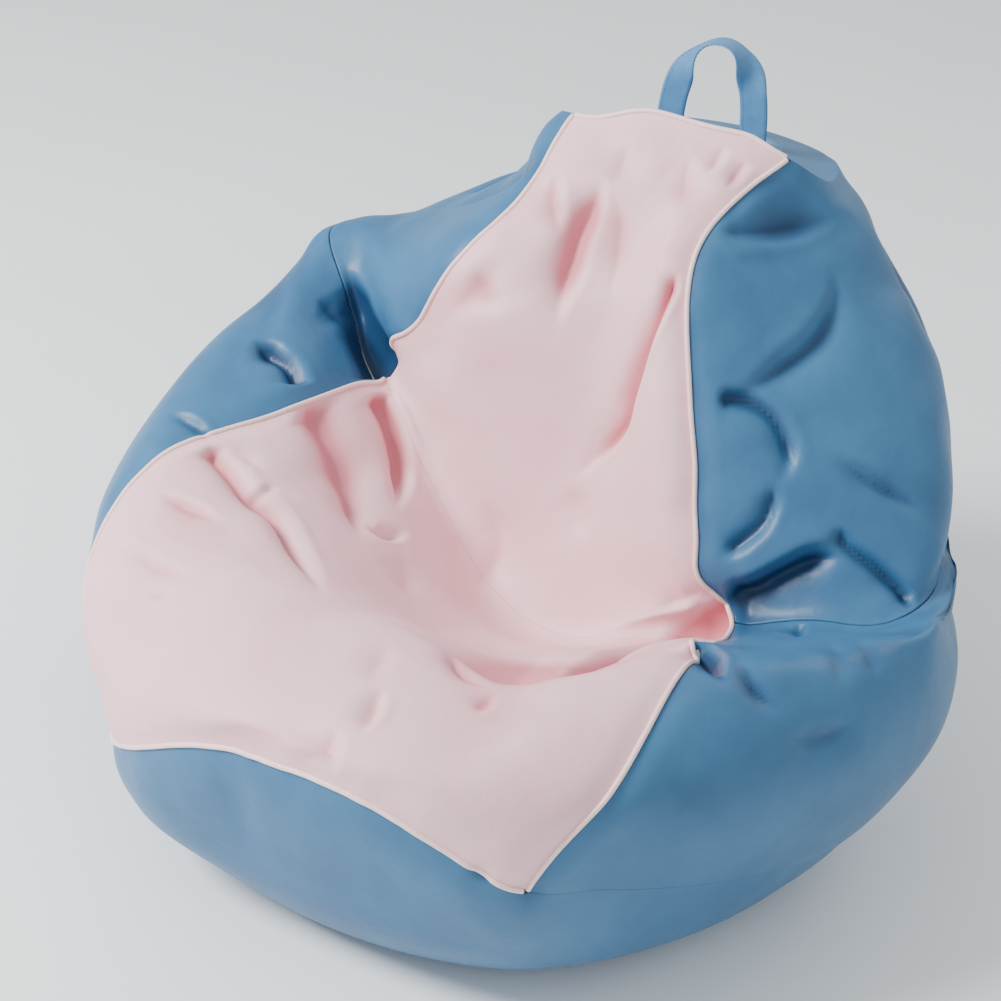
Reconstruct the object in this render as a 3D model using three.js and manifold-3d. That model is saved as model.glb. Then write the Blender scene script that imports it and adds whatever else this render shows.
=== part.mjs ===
// A pear-shaped bean bag chair with a sat-in seat, in millimetres. +Z is up and the chair faces -Y.
// A round base, four panels round the seat, four round the back and a small top cap are sewn into
// one cover. Inside it lie a zipped liner bag and the loose bead fill.
import * as THREE from "three";
import Module from "manifold-3d";

const wasm = await Module();
wasm.setup();

// ---- overall sizes ----
const chairWidth = 868; // across the belly, X
const chairDepth = 878; // front to back, Y
const chairHeight = 662; // floor to the front edge of the top cap
const seamRadius = 396; // base seam at the back
const footInset = 98; // from the base seam in to the flat round that the chair stands on
const turnInset = 50; // from the base seam in to where the base starts to climb
const turnHeight = 24;
const seamHeight = 75;
const seamLift = 16; // how far the front base seam is pulled up between its corners

// ---- cloth, seams and piping ----
const coverThickness = 1.6;
const seamGap = 0.8; // between two plain sewn edges
const pipingRadius = 2.5;
const pipingGap = 0.9; // between the piping and the panels beside it
const cornerTrim = 5; // where the front and top piping stop short of the side piping
const linerThickness = 0.8;
const labelThickness = 0.5;

// ---- zips, both on circles about the base's upright axis ----
const zipLean = 20.8; // degrees that the cloth leans out at the base seam
const zipHalfAngle = 36.8; // from the middle of the back to each end stop
const tapeHalfAngle = 41;
const slideAngle = 34.6; // where the closed slider waits, from the middle of the back
const zipWindow = 7; // half the opening in the cloth
const tapeReach = 12; // from the zip's middle to a tape's far edge
const tapeThickness = 0.6;
const teethWidth = 2.5;
const teethHeight = 1.2;
const teethGap = 1.4; // between the two rows, for the slider's post
const sliderHalfWidth = 3.8;
const sliderLength = 11;
const sliderPlate = 0.7;
const sliderPost = 0.7;
const sliderClearance = 0.3;
const stopLength = 3;

// ---- layers, each behind the one before: cover, zip, label, liner, its zip and the beads ----
const tapeClearance = 0.8; // from a cloth to the zip tape behind it
const linerClearance = 2.2; // from the outer zip to the liner, for the slider's inner plate
const fillClearance = 2.1; // from the liner's zip to the beads
const outerTapeDepth = coverThickness + tapeClearance;
const linerDepth = outerTapeDepth + tapeThickness + linerClearance;
const linerTapeDepth = linerDepth + linerThickness + tapeClearance;
const fillDepth = linerTapeDepth + tapeThickness + fillClearance;
const labelDepth = coverThickness + tapeClearance * 1.75;

// ---- zip pull ----
const bridgeLength = 9.2;
const bridgeWidth = 2.2;
const bridgeBar = 0.9;
const bridgeRoom = 2.2; // height under the bridge
const pullLength = 23;
const pullWidth = 6.6;
const pullThickness = 1.0;
const pullBar = 1.4;
const pullWindowLength = 4.3;
const pullWindowWidth = 3.4;
const pullPivotAhead = 2.6; // from the slider's middle to the pull's pivot
const pullPivotHeight = 1.0; // above the slider's top plate

// ---- carry handle ----
const strapWidth = 30;
const strapThickness = 2.4;
const loopHeight = 96;
const loopLean = 5; // how far the loop's top leans to the right
const loopSquareness = 0.93; // 1 is an ellipse, less is squarer
const patchStart = 11.45; // share of the cap that the patch covers, counted as rings
const patchThickness = 1.2;
const patchGap = 0.4;
const footClearance = 2.6; // from the patch to the strap's hinge line

// ---- the cover's shape: rings from the floor up, eight stations round each ring ----
// Stations: 0 front, 1 front right seam, 2 right, 3 back right seam, 4 back,
// 5 back left seam, 6 left, 7 front left seam. Seams run up stations 1, 3, 5 and 7.
const stations = 8;
const across = chairWidth / 868;
const along = chairDepth / 878;
const upward = chairHeight / 662;

function round(angle, radius, height) {
  const a = THREE.MathUtils.degToRad(angle);
  return new THREE.Vector3(radius * Math.sin(a), -radius * Math.cos(a), height);
}

function drawn(x, y, z) {
  return new THREE.Vector3(x * across, y * along, z * upward);
}

const stationAngles = [0, 40, 88, 137, 180, 223, 272, 322];

const rings = [
  stationAngles.map((angle) => round(angle, seamRadius - footInset, 0)),
  stationAngles.map((angle) => round(angle, seamRadius - turnInset, turnHeight)),
  [ // low: the base's side
    drawn(0, -392, 100), drawn(252, -306, 80), round(92, seamRadius - 24, 46),
    round(136.2, seamRadius - 20, 42), round(180, seamRadius - 20, 42), round(223.8, seamRadius - 20, 42),
    round(268, seamRadius - 25, 46), drawn(-200, -340, 68),
  ],
  [ // base seam
    drawn(0, -420, 248), drawn(250, -343, 192), round(93, seamRadius, seamHeight + 5),
    round(136.2, seamRadius, seamHeight), round(180, seamRadius, seamHeight),
    round(223.8, seamRadius, seamHeight), round(268, seamRadius - 6, seamHeight + 5), drawn(-212, -360, 136),
  ],
  [ // belly, the widest part
    drawn(0, -410, 292), drawn(285, -285, 275), drawn(440, 70, 196), drawn(306, 318, 196),
    drawn(0, 436, 200), drawn(-308, 316, 202), drawn(-428, 20, 220), drawn(-316, -288, 222),
  ],
  [ // crest of the seat's rim
    drawn(0, -270, 315), drawn(272, -160, 325), drawn(412, 96, 296), drawn(302, 340, 290),
    drawn(0, 448, 300), drawn(-305, 338, 330), drawn(-404, 80, 366), drawn(-308, -200, 328),
  ],
  [ // seat hollow
    drawn(0, -110, 215), drawn(240, -30, 275), drawn(392, 118, 310), drawn(294, 362, 330),
    drawn(0, 452, 350), drawn(-298, 348, 370), drawn(-388, 138, 420), drawn(-255, -60, 352),
  ],
  [ // waist seam, where the seat meets the back
    drawn(0, 32, 170), drawn(217, 72, 238), drawn(362, 152, 313), drawn(282, 376, 350),
    drawn(0, 450, 380), drawn(-290, 350, 395), drawn(-366, 176, 446), drawn(-236, 86, 352),
  ],
  [ // foot of the back
    drawn(0, 90, 290), drawn(175, 75, 320), drawn(336, 214, 368), drawn(262, 382, 410),
    drawn(0, 442, 440), drawn(-264, 354, 448), drawn(-316, 210, 470), drawn(-206, 88, 408),
  ],
  [ // middle of the back
    drawn(0, 120, 440), drawn(118, 105, 445), drawn(284, 264, 450), drawn(220, 390, 490),
    drawn(0, 432, 510), drawn(-214, 360, 518), drawn(-262, 236, 494), drawn(-165, 92, 498),
  ],
  [ // shoulders
    drawn(0, 175, 575), drawn(72, 165, 567), drawn(196, 304, 548), drawn(166, 394, 560),
    drawn(0, 424, 580), drawn(-160, 372, 573), drawn(-200, 270, 540), drawn(-130, 155, 570),
  ],
  [ // cap seam
    drawn(12, 242, 662), drawn(102, 262, 651), drawn(126, 326, 633), drawn(98, 400, 615),
    drawn(0, 420, 612), drawn(-108, 388, 605), drawn(-156, 296, 604), drawn(-115, 225, 633),
  ],
];
const capCentre = drawn(-8, 328, 629);

const floorCentre = -1; // v where the base's middle lies
const baseSeam = 3;
const waistSeam = 7;
const capSeam = 11;
const capTop = 12;

// ---- the cover as one smooth surface: u runs round the stations, v runs up the rings ----
function spline(a, b, c, d, t) {
  const point = b.clone();
  point.addScaledVector(c.clone().sub(a), t / 2);
  const curve = a.clone().multiplyScalar(2).addScaledVector(b, -5).addScaledVector(c, 4).sub(d);
  point.addScaledVector(curve, (t * t) / 2);
  const twist = b.clone().sub(c).multiplyScalar(3).add(d).sub(a);
  return point.addScaledVector(twist, (t * t * t) / 2);
}

function alongRing(ring, u) {
  const whole = Math.floor(u);
  const station = (k) => ring[(((whole + k) % stations) + stations) % stations];
  return spline(station(-1), station(0), station(1), station(2), u - whole);
}

function ringAt(index, u) {
  if (index < 0) {
    return alongRing(rings[0], u).multiplyScalar(2).sub(alongRing(rings[1], u));
  }
  if (index > capSeam) {
    return alongRing(rings[capSeam], u).multiplyScalar(2).sub(alongRing(rings[capSeam - 1], u));
  }
  return alongRing(rings[index], u);
}

// A point on the cone that both zips follow: angle from the back, up the slope, out of the cloth.
function conePoint(angle, up, out) {
  const lean = THREE.MathUtils.degToRad(zipLean);
  const radius = seamRadius + up * Math.sin(lean) + out * Math.cos(lean);
  const height = seamHeight + up * Math.cos(lean) - out * Math.sin(lean);
  return new THREE.Vector3(radius * Math.sin(angle), radius * Math.cos(angle), height);
}

const conePitch = 84.5; // cloth between one ring and the next at the base seam
const coneBand = 0.2; // how far the true cone reaches each way from the base seam, in rings

function coverPoint(u, v) {
  if (v < 0) {
    return alongRing(rings[0], u).multiplyScalar(1 + v);
  }
  if (v > capSeam) {
    return alongRing(rings[capSeam], u).lerp(capCentre, v - capSeam);
  }
  const whole = Math.min(Math.floor(v), capSeam - 1);
  const point = spline(
    ringAt(whole - 1, u), ringAt(whole, u), ringAt(whole + 1, u), ringAt(whole + 2, u), v - whole,
  );
  const turn = ((u % stations) + stations) % stations;
  if (turn < 1) {
    const bell = Math.exp(-(((v - baseSeam) / 0.8) ** 2));
    point.z += seamLift * Math.sin(Math.PI * turn) ** 2 * bell;
  }
  // Round the back of the base seam the cloth is a true cone, so the zips run on a circle.
  const { smoothstep } = THREE.MathUtils;
  const round = 1 - smoothstep(Math.abs(turn - 4), 1.1, 1.6);
  const near = 1 - smoothstep(Math.abs(v - baseSeam), coneBand, 0.75);
  if (round * near > 0) {
    const cone = conePoint(Math.atan2(point.x, point.y), (v - baseSeam) * conePitch, 0);
    point.lerp(cone, round * near);
  }
  return point;
}

// The surface's directions at a point: round, up and outward, on the side below or above it.
function directions(u, v, side) {
  const step = 0.08;
  const polar = Math.min(Math.max(v, floorCentre + step), capTop - step);
  const low = coverPoint(u, side > 0 ? polar : polar - step);
  const high = coverPoint(u, side > 0 ? polar + step : polar);
  const round = coverPoint(u + step, polar).sub(coverPoint(u - step, polar)).normalize();
  const up = high.sub(low).normalize();
  const out = round.clone().cross(up).normalize();
  return { round, up, out };
}

function inward(u, v) {
  if (v <= floorCentre) {
    return new THREE.Vector3(0, 0, 1);
  }
  if (v >= capTop) {
    const sum = new THREE.Vector3();
    for (let station = 0; station < stations; station += 1) {
      sum.add(directions(station, capTop, -1).out);
    }
    return sum.normalize().negate();
  }
  const below = directions(u, v, -1).out;
  const above = directions(u, v, 1).out;
  const share = 1 + below.dot(above);
  return below.add(above).divideScalar(-share);
}

// ---- mesh helpers ----
function closedBody(points, triangles) {
  let volume = 0;
  for (const [a, b, c] of triangles) {
    volume += points[a].dot(points[b].clone().cross(points[c]));
  }
  const faces = volume < 0 ? triangles.map(([a, b, c]) => [a, c, b]) : triangles;
  const geometry = new THREE.BufferGeometry().setFromPoints(points);
  geometry.setIndex(faces.flat());
  geometry.computeVertexNormals();
  return geometry;
}

// A layer of cloth over part of the cover. Edges are pulled in from the seams by the insets, in
// millimetres, and skipped cells leave a slot. With no inner depth the body is solid.
function cloth({ us, vs, outer, inner = null, wraps = false, insets = {}, skip = () => false }) {
  const points = [];
  const index = new Map();
  const columns = wraps ? us.length - 1 : us.length;
  const solid = inner === null;
  const pole = (j) => vs[j] <= floorCentre || vs[j] >= capTop;

  function vertex(i, j, layer) {
    const column = pole(j) ? 0 : i % columns;
    const key = `${column},${j},${layer}`;
    if (!index.has(key)) {
      const u = us[column];
      const v = vs[j];
      const point = coverPoint(u, v);
      point.addScaledVector(inward(u, v), layer === 0 ? outer : inner);
      const { round, up } = directions(u, v, j === 0 ? 1 : -1);
      const skew = round.clone().cross(up).length();
      const { start = 0, end = 0, bottom = () => 0, top = () => 0 } = insets;
      if (!wraps && column === 0) {
        point.addScaledVector(round, start / skew);
      }
      if (!wraps && column === us.length - 1) {
        point.addScaledVector(round, -end / skew);
      }
      if (j === 0) {
        point.addScaledVector(up, bottom(u) / skew);
      }
      if (j === vs.length - 1) {
        point.addScaledVector(up, -top(u) / skew);
      }
      index.set(key, points.length);
      points.push(point);
    }
    return index.get(key);
  }

  const cells = us.length - 1;
  const rows = vs.length - 1;
  function filled(i, j) {
    const column = wraps ? (i + cells) % cells : i;
    const inside = column >= 0 && column < cells && j >= 0 && j < rows;
    return inside && !skip((us[column] + us[column + 1]) / 2, (vs[j] + vs[j + 1]) / 2);
  }

  const triangles = [];
  function quad(a, b, c, d) {
    for (const corner of [[a, b, c], [a, c, d]]) {
      if (new Set(corner).size === 3) {
        triangles.push(corner);
      }
    }
  }
  for (let j = 0; j < rows; j += 1) {
    for (let i = 0; i < cells; i += 1) {
      if (!filled(i, j)) {
        continue;
      }
      const corners = [[i, j], [i + 1, j], [i + 1, j + 1], [i, j + 1]];
      const neighbours = [[i, j - 1], [i + 1, j], [i, j + 1], [i - 1, j]];
      const out = corners.map(([x, y]) => vertex(x, y, 0));
      quad(out[0], out[1], out[2], out[3]);
      if (solid) {
        continue;
      }
      const back = corners.map(([x, y]) => vertex(x, y, 1));
      quad(back[0], back[3], back[2], back[1]);
      neighbours.forEach(([x, y], side) => {
        const next = (side + 1) % 4;
        const onPole = (side === 0 && pole(j)) || (side === 2 && pole(j + 1));
        if (!onPole && !filled(x, y)) {
          quad(out[next], out[side], back[side], back[next]);
        }
      });
    }
  }
  return closedBody(points, triangles);
}

// A closed body through a row of like outlines, with flat ends. The flat outline gives the ends.
function loft(outline, sections) {
  const count = outline.length;
  const triangles = [];
  for (let k = 0; k + 1 < sections.length; k += 1) {
    for (let i = 0; i < count; i += 1) {
      const next = (i + 1) % count;
      triangles.push([k * count + i, k * count + next, (k + 1) * count + next]);
      triangles.push([k * count + i, (k + 1) * count + next, (k + 1) * count + i]);
    }
  }
  const last = (sections.length - 1) * count;
  const turned = THREE.ShapeUtils.isClockWise(outline);
  for (const end of THREE.ShapeUtils.triangulateShape(outline, [])) {
    const against = THREE.ShapeUtils.isClockWise(end.map((corner) => outline[corner])) !== turned;
    const [a, b, c] = against ? end.reverse() : end;
    triangles.push([c, b, a]);
    triangles.push([last + a, last + b, last + c]);
  }
  return closedBody(sections.flat(), triangles);
}

function steps(from, to, count) {
  return Array.from({ length: count + 1 }, (unused, k) => from + ((to - from) * k) / count);
}

function toSolid(geometry) {
  const index = geometry.getIndex();
  return new wasm.Manifold(new wasm.Mesh({
    numProp: 3,
    vertProperties: new Float32Array(geometry.getAttribute("position").array),
    triVerts: new Uint32Array(index.array),
  }));
}

function fromSolid(solid) {
  const mesh = solid.getMesh();
  const geometry = new THREE.BufferGeometry();
  geometry.setAttribute("position", new THREE.Float32BufferAttribute(mesh.vertProperties, 3));
  geometry.setIndex(Array.from(mesh.triVerts));
  geometry.computeVertexNormals();
  return geometry;
}

// ---- materials ----
function finish(color, roughness, metalness) {
  return new THREE.MeshStandardMaterial({ color, roughness, metalness });
}

const blueCloth = finish(0x4f86ae, 0.5, 0);
const pinkCloth = finish(0xdcb9bd, 0.5, 0);
const pinkPiping = finish(0xecc4c4, 0.55, 0);
const webbing = finish(0x4a84b4, 0.7, 0);
const linerCloth = finish(0xe9e7e2, 0.85, 0);
const beads = finish(0xf6f5f1, 0.9, 0);
const zipTape = finish(0x3f6c90, 0.8, 0);
const zipMetal = finish(0x8f9398, 0.35, 1);
const labelCloth = finish(0xf2f0ea, 0.8, 0);

const chair = new THREE.Group();

function add(name, geometry, material) {
  const mesh = new THREE.Mesh(geometry, material);
  mesh.name = name;
  chair.add(mesh);
  return mesh;
}

// ---- grid lines shared by every layer, so that neighbouring facets stay parallel ----
const coarse = 0.25;
const fine = 0.125; // round the back, where the zips need a rounder cloth
function between(from, to) {
  const list = [];
  for (let u = from; u < to; u += u >= 3 && u < 5 ? fine : coarse) {
    list.push(u);
  }
  list.push(to);
  return list;
}

const allRound = between(0, stations);
const baseRows = [floorCentre, -0.5, 0, 0.5, 1, 1.5, 2, 2.5, baseSeam - coneBand, baseSeam];
const seatRows = [baseSeam, baseSeam + coneBand, ...steps(baseSeam, waistSeam, 8).slice(1)];
const backRows = [...steps(waistSeam, 10, 6), ...steps(10, capSeam, 4).slice(1)]; // finer by the cap
const capRows = [capSeam, patchStart, 11.75, capTop];

// ---- edges of the panels ----
const plainEdge = seamGap / 2;
const pipedEdge = pipingRadius + pipingGap;

function isPink(u) {
  const turn = ((u % stations) + stations) % stations;
  return turn < 1.1 || turn > stations - 1.1;
}

function zipOpening(u) {
  return 1 - THREE.MathUtils.smoothstep(Math.abs(u - 4), 0.88, 0.98);
}

function baseEdge(u) {
  const sewn = isPink(u) ? pipedEdge : plainEdge;
  return sewn + (zipWindow - plainEdge) * zipOpening(u);
}

function capEdge(u) {
  return isPink(u) ? pipedEdge : plainEdge;
}

// ---- the cover ----
const wall = { outer: 0, inner: coverThickness };

add("base_panel", cloth({
  us: allRound, vs: baseRows, wraps: true, insets: { top: baseEdge }, ...wall,
}), blueCloth);

const sides = [
  { lower: "seat_panel", upper: "backrest_panel", from: 7, to: 9, pink: true },
  { lower: "right_side_lower_panel", upper: "right_side_upper_panel", from: 1, to: 3 },
  { lower: "rear_lower_panel", upper: "rear_upper_panel", from: 3, to: 5 },
  { lower: "left_side_lower_panel", upper: "left_side_upper_panel", from: 5, to: 7 },
];
for (const { lower, upper, from, to, pink } of sides) {
  const material = pink ? pinkCloth : blueCloth;
  const start = from === 7 || from === 1 ? pipedEdge : plainEdge;
  const end = to === 9 || to === 7 ? pipedEdge : plainEdge;
  const ownEdge = (edge) => (u) => (pink ? pipedEdge : edge(u) === pipedEdge ? plainEdge : edge(u));
  const waist = () => plainEdge;
  add(lower, cloth({
    us: between(from, to), vs: seatRows, insets: { start, end, bottom: ownEdge(baseEdge), top: waist }, ...wall,
  }), material);
  add(upper, cloth({
    us: between(from, to), vs: backRows, insets: { start, end, bottom: waist, top: ownEdge(capEdge) }, ...wall,
  }), material);
}

add("top_cap", cloth({
  us: allRound, vs: capRows, wraps: true, insets: { bottom: capEdge }, ...wall,
}), blueCloth);

add("handle_patch", cloth({
  us: allRound, vs: capRows.slice(1), wraps: true, outer: -patchGap - patchThickness, inner: -patchGap,
}), webbing);

// ---- piping round the pink panels ----
const pipingSides = 8;
const pipingOutline = steps(0, 1, pipingSides).slice(1).map((share) => {
  const angle = share * 2 * Math.PI;
  return new THREE.Vector2(pipingRadius * Math.cos(angle), pipingRadius * Math.sin(angle));
});

// A cord laid along the places given, with its ends held back by the trim.
function piping(places, trim) {
  const centres = places.map(([u, v]) => coverPoint(u, v).addScaledVector(inward(u, v), coverThickness / 2));
  const last = centres.length - 1;
  const pullBack = (end, next) => {
    const way = centres[next].clone().sub(centres[end]).normalize();
    centres[end].addScaledVector(way, trim);
  };
  pullBack(0, 1);
  pullBack(last, last - 1);
  const sections = centres.map((centre, k) => {
    const before = centres[Math.max(k - 1, 0)];
    const after = centres[Math.min(k + 1, last)];
    const way = after.clone().sub(before).normalize();
    const out = inward(...places[k]).negate();
    out.addScaledVector(way, -out.dot(way)).normalize();
    const side = way.cross(out);
    return pipingOutline.map(({ x, y }) => centre.clone().addScaledVector(side, x).addScaledVector(out, y));
  });
  return loft(pipingOutline, sections);
}

const seamRows = [...seatRows, ...backRows.slice(1)];
add("right_piping", piping(seamRows.map((v) => [1, v]), 0), pinkPiping);
add("left_piping", piping(seamRows.map((v) => [7, v]), 0), pinkPiping);
add("front_piping", piping(between(7, 9).map((u) => [u, baseSeam]), cornerTrim), pinkPiping);
add("top_piping", piping(between(7, 9).map((u) => [u, capSeam]), cornerTrim), pinkPiping);

// ---- zips ----
const degrees = THREE.MathUtils.degToRad;

// Sweeps an outline drawn as (up the slope, out of the cloth) round the base's upright axis.
function sweepOnCone(outlineAt, from, to, count) {
  const sections = steps(from, to, count).map((angle) => {
    return outlineAt(angle).map(({ x, y }) => conePoint(degrees(angle), x, y));
  });
  return loft(outlineAt((from + to) / 2), sections);
}

// One tape with its row of teeth. The teeth stop short of the tape's ends.
function zipHalf(side, faceDepth) {
  const inside = side * (teethGap / 2);
  const ridge = side * (teethGap / 2 + teethWidth);
  const outside = side * tapeReach;
  const outlineAt = (angle) => {
    const tooth = Math.abs(angle) < zipHalfAngle - 0.5 ? teethHeight : 0.05;
    const outline = [
      [outside, -faceDepth - tapeThickness], [inside, -faceDepth - tapeThickness],
      [inside, -faceDepth + tooth], [ridge, -faceDepth + tooth],
      [ridge, -faceDepth], [outside, -faceDepth],
    ];
    return outline.map(([x, y]) => new THREE.Vector2(x, y));
  };
  const toothed = zipHalfAngle - 0.6;
  const angles = [-tapeHalfAngle, -zipHalfAngle, ...steps(-toothed, toothed, 26), zipHalfAngle, tapeHalfAngle];
  const sections = angles.map((angle) => outlineAt(angle).map(({ x, y }) => conePoint(degrees(angle), x, y)));
  return loft(outlineAt(0), sections);
}

// The slider's two plates and the post between them. It rides both rows of teeth.
function sliderBody(middle, faceDepth) {
  const topLow = -faceDepth + teethHeight + sliderClearance;
  const topHigh = topLow + sliderPlate;
  const bottomHigh = -faceDepth - tapeThickness - sliderClearance * 2;
  const bottomLow = bottomHigh - sliderPlate;
  const half = sliderHalfWidth;
  const post = sliderPost / 2;
  const outline = [
    [-half, bottomLow], [half, bottomLow], [half, bottomHigh], [post, bottomHigh], [post, topLow], [half, topLow],
    [half, topHigh], [-half, topHigh], [-half, topLow], [-post, topLow], [-post, bottomHigh], [-half, bottomHigh],
  ].map(([x, y]) => new THREE.Vector2(x, y));
  const reach = THREE.MathUtils.radToDeg(sliderLength / 2 / seamRadius);
  return { body: sweepOnCone(() => outline, middle - reach, middle + reach, 4), top: topHigh };
}

function endStop(middle, faceDepth) {
  const half = teethGap / 2 + teethWidth;
  const low = -faceDepth + 0.3;
  const high = -faceDepth + teethHeight;
  const outline = [[-half, low], [half, low], [half, high], [-half, high]];
  const reach = THREE.MathUtils.radToDeg(stopLength / 2 / seamRadius);
  return sweepOnCone(() => outline.map(([x, y]) => new THREE.Vector2(x, y)), middle - reach, middle + reach, 1);
}

add("zip_upper_tape", zipHalf(1, outerTapeDepth), zipTape);
add("zip_lower_tape", zipHalf(-1, outerTapeDepth), zipTape);
add("zip_left_stop", endStop(-zipHalfAngle - 0.35, outerTapeDepth), zipMetal);
add("zip_right_stop", endStop(zipHalfAngle + 0.35, outerTapeDepth), zipMetal);
add("liner_zip_upper_tape", zipHalf(1, linerTapeDepth), zipTape);
add("liner_zip_lower_tape", zipHalf(-1, linerTapeDepth), zipTape);
add("liner_zip_slider", sliderBody(-slideAngle, linerTapeDepth).body, zipMetal);

// The slider's own frame: x along the zip over its teeth, y down the slope, z out of the cloth.
const slider = sliderBody(-slideAngle, outerTapeDepth);
const zipOrigin = conePoint(degrees(-slideAngle), 0, slider.top);
const zipOut = conePoint(degrees(-slideAngle), 0, slider.top + 1).sub(zipOrigin);
const zipDown = conePoint(degrees(-slideAngle), -1, slider.top).sub(zipOrigin);
const zipFrame = new THREE.Matrix4().makeBasis(zipDown.clone().cross(zipOut), zipDown, zipOut);
zipFrame.setPosition(zipOrigin);

function prism(outline, from, to, place) {
  const flat = outline.map(([x, y]) => new THREE.Vector2(x, y));
  const sections = [from, to].map((depth) => flat.map(({ x, y }) => place(x, y, depth).applyMatrix4(zipFrame)));
  return loft(flat, sections);
}

const bridgeHalf = bridgeLength / 2;
const bridgeTop = bridgeRoom + bridgeBar;
const bridge = prism([
  [-bridgeHalf, -sliderPlate / 2], [-bridgeHalf + bridgeBar, -sliderPlate / 2],
  [-bridgeHalf + bridgeBar, bridgeRoom], [bridgeHalf - bridgeBar, bridgeRoom],
  [bridgeHalf - bridgeBar, -sliderPlate / 2], [bridgeHalf, -sliderPlate / 2],
  [bridgeHalf, bridgeTop], [-bridgeHalf, bridgeTop],
], -bridgeWidth / 2, bridgeWidth / 2, (x, y, depth) => new THREE.Vector3(x, depth, y));
add("zip_slider", fromSolid(toSolid(slider.body).add(toSolid(bridge))), zipMetal);

const pullBack = pullPivotAhead - pullBar / 2;
const plate = (x, y, depth) => new THREE.Vector3(x, y, pullPivotHeight + depth);
const pullHalf = pullThickness / 2;
const pullOutline = [
  [pullBack, -pullWidth / 2], [pullBack + pullLength - 2, -pullWidth / 2], [pullBack + pullLength, -pullWidth / 2 + 2],
  [pullBack + pullLength, pullWidth / 2 - 2], [pullBack + pullLength - 2, pullWidth / 2], [pullBack, pullWidth / 2],
];
const windowFrom = pullBack + pullBar;
const windowOutline = [
  [windowFrom, -pullWindowWidth / 2], [windowFrom + pullWindowLength, -pullWindowWidth / 2],
  [windowFrom + pullWindowLength, pullWindowWidth / 2], [windowFrom, pullWindowWidth / 2],
];
const pullPlate = toSolid(prism(pullOutline, -pullHalf, pullHalf, plate));
const pullWindow = toSolid(prism(windowOutline, -pullThickness, pullThickness, plate));
add("zip_pull", fromSolid(pullPlate.subtract(pullWindow)), zipMetal);

// ---- liner bag, with a slot behind its own zip ----
const slotRows = zipWindow / conePitch;
const linerRows = [
  ...baseRows.slice(0, -1), baseSeam - slotRows, baseSeam + slotRows,
  ...seatRows.slice(1), ...backRows.slice(1), ...capRows.slice(1),
];
add("liner_bag", cloth({
  us: allRound, vs: linerRows, wraps: true, outer: linerDepth, inner: linerDepth + linerThickness,
  skip: (u, v) => Math.abs(v - baseSeam) < slotRows && Math.abs(u - 4) < 0.88,
}), linerCloth);

add("bead_fill", cloth({ us: allRound, vs: linerRows, wraps: true, outer: fillDepth }), beads);

add("care_label", cloth({
  us: [3.375, 3.5], vs: [4, 4.5], outer: labelDepth, inner: labelDepth + labelThickness,
}), labelCloth);

// ---- carry handle: a webbing loop that stands on the patch ----
const footRise = patchGap + patchThickness + footClearance;
function footAt(u, v) {
  return coverPoint(u, v).addScaledVector(inward(u, v), -footRise);
}

const leftFoot = footAt(6.2, 11.7);
const rightFoot = footAt(1.9, 11.66);
const baseline = rightFoot.clone().sub(leftFoot);
const span = baseline.length();
const acrossLoop = baseline.clone().normalize();
const loopNormal = new THREE.Vector3(0, 0, 1).cross(acrossLoop).normalize();
const upLoop = acrossLoop.clone().cross(loopNormal);

function loopCentre(share) {
  const angle = Math.PI * share;
  const soften = (value) => Math.sign(value) * Math.abs(value) ** loopSquareness;
  const rise = loopHeight * soften(Math.sin(angle));
  const lean = loopLean * (rise / loopHeight) ** 2;
  const middle = leftFoot.clone().lerp(rightFoot, 0.5);
  middle.addScaledVector(acrossLoop, (-span / 2) * soften(Math.cos(angle)) + lean);
  return middle.addScaledVector(upLoop, rise);
}

const strapOutline = [
  [-strapWidth / 2, -strapThickness / 2], [strapWidth / 2, -strapThickness / 2],
  [strapWidth / 2, strapThickness / 2], [-strapWidth / 2, strapThickness / 2],
].map(([x, y]) => new THREE.Vector2(x, y));

// The strap stands flat along its hinge line and turns its face upward over the top of the loop.
const strapSections = steps(0, 1, 24).map((share) => {
  const centre = loopCentre(share);
  const nudge = 0.01;
  const ahead = loopCentre(Math.min(share + nudge, 1));
  const behind = loopCentre(Math.max(share - nudge, 0));
  let way = ahead.sub(behind).normalize();
  if (share === 0 || share === 1) {
    way = upLoop.clone().multiplyScalar(share === 0 ? 1 : -1);
  }
  const inPlane = way.clone().cross(loopNormal);
  const twist = (Math.PI / 2) * THREE.MathUtils.smoothstep(Math.sin(Math.PI * share), 0.45, 1);
  const wide = inPlane.clone().multiplyScalar(Math.cos(twist)).addScaledVector(loopNormal, Math.sin(twist));
  const thick = way.clone().cross(wide);
  return strapOutline.map(({ x, y }) => centre.clone().addScaledVector(wide, x).addScaledVector(thick, y));
});
add("carry_handle", loft(strapOutline, strapSections), webbing);

// The chair's origin is on the floor, under the middle of its box.
const box = new THREE.Box3().setFromObject(chair);
const middle = box.getCenter(new THREE.Vector3());
chair.position.set(-middle.x, -middle.y, 0);

export default chair;
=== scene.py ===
import math

import bmesh
import bpy
import numpy as np
from mathutils import Matrix, Vector


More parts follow.
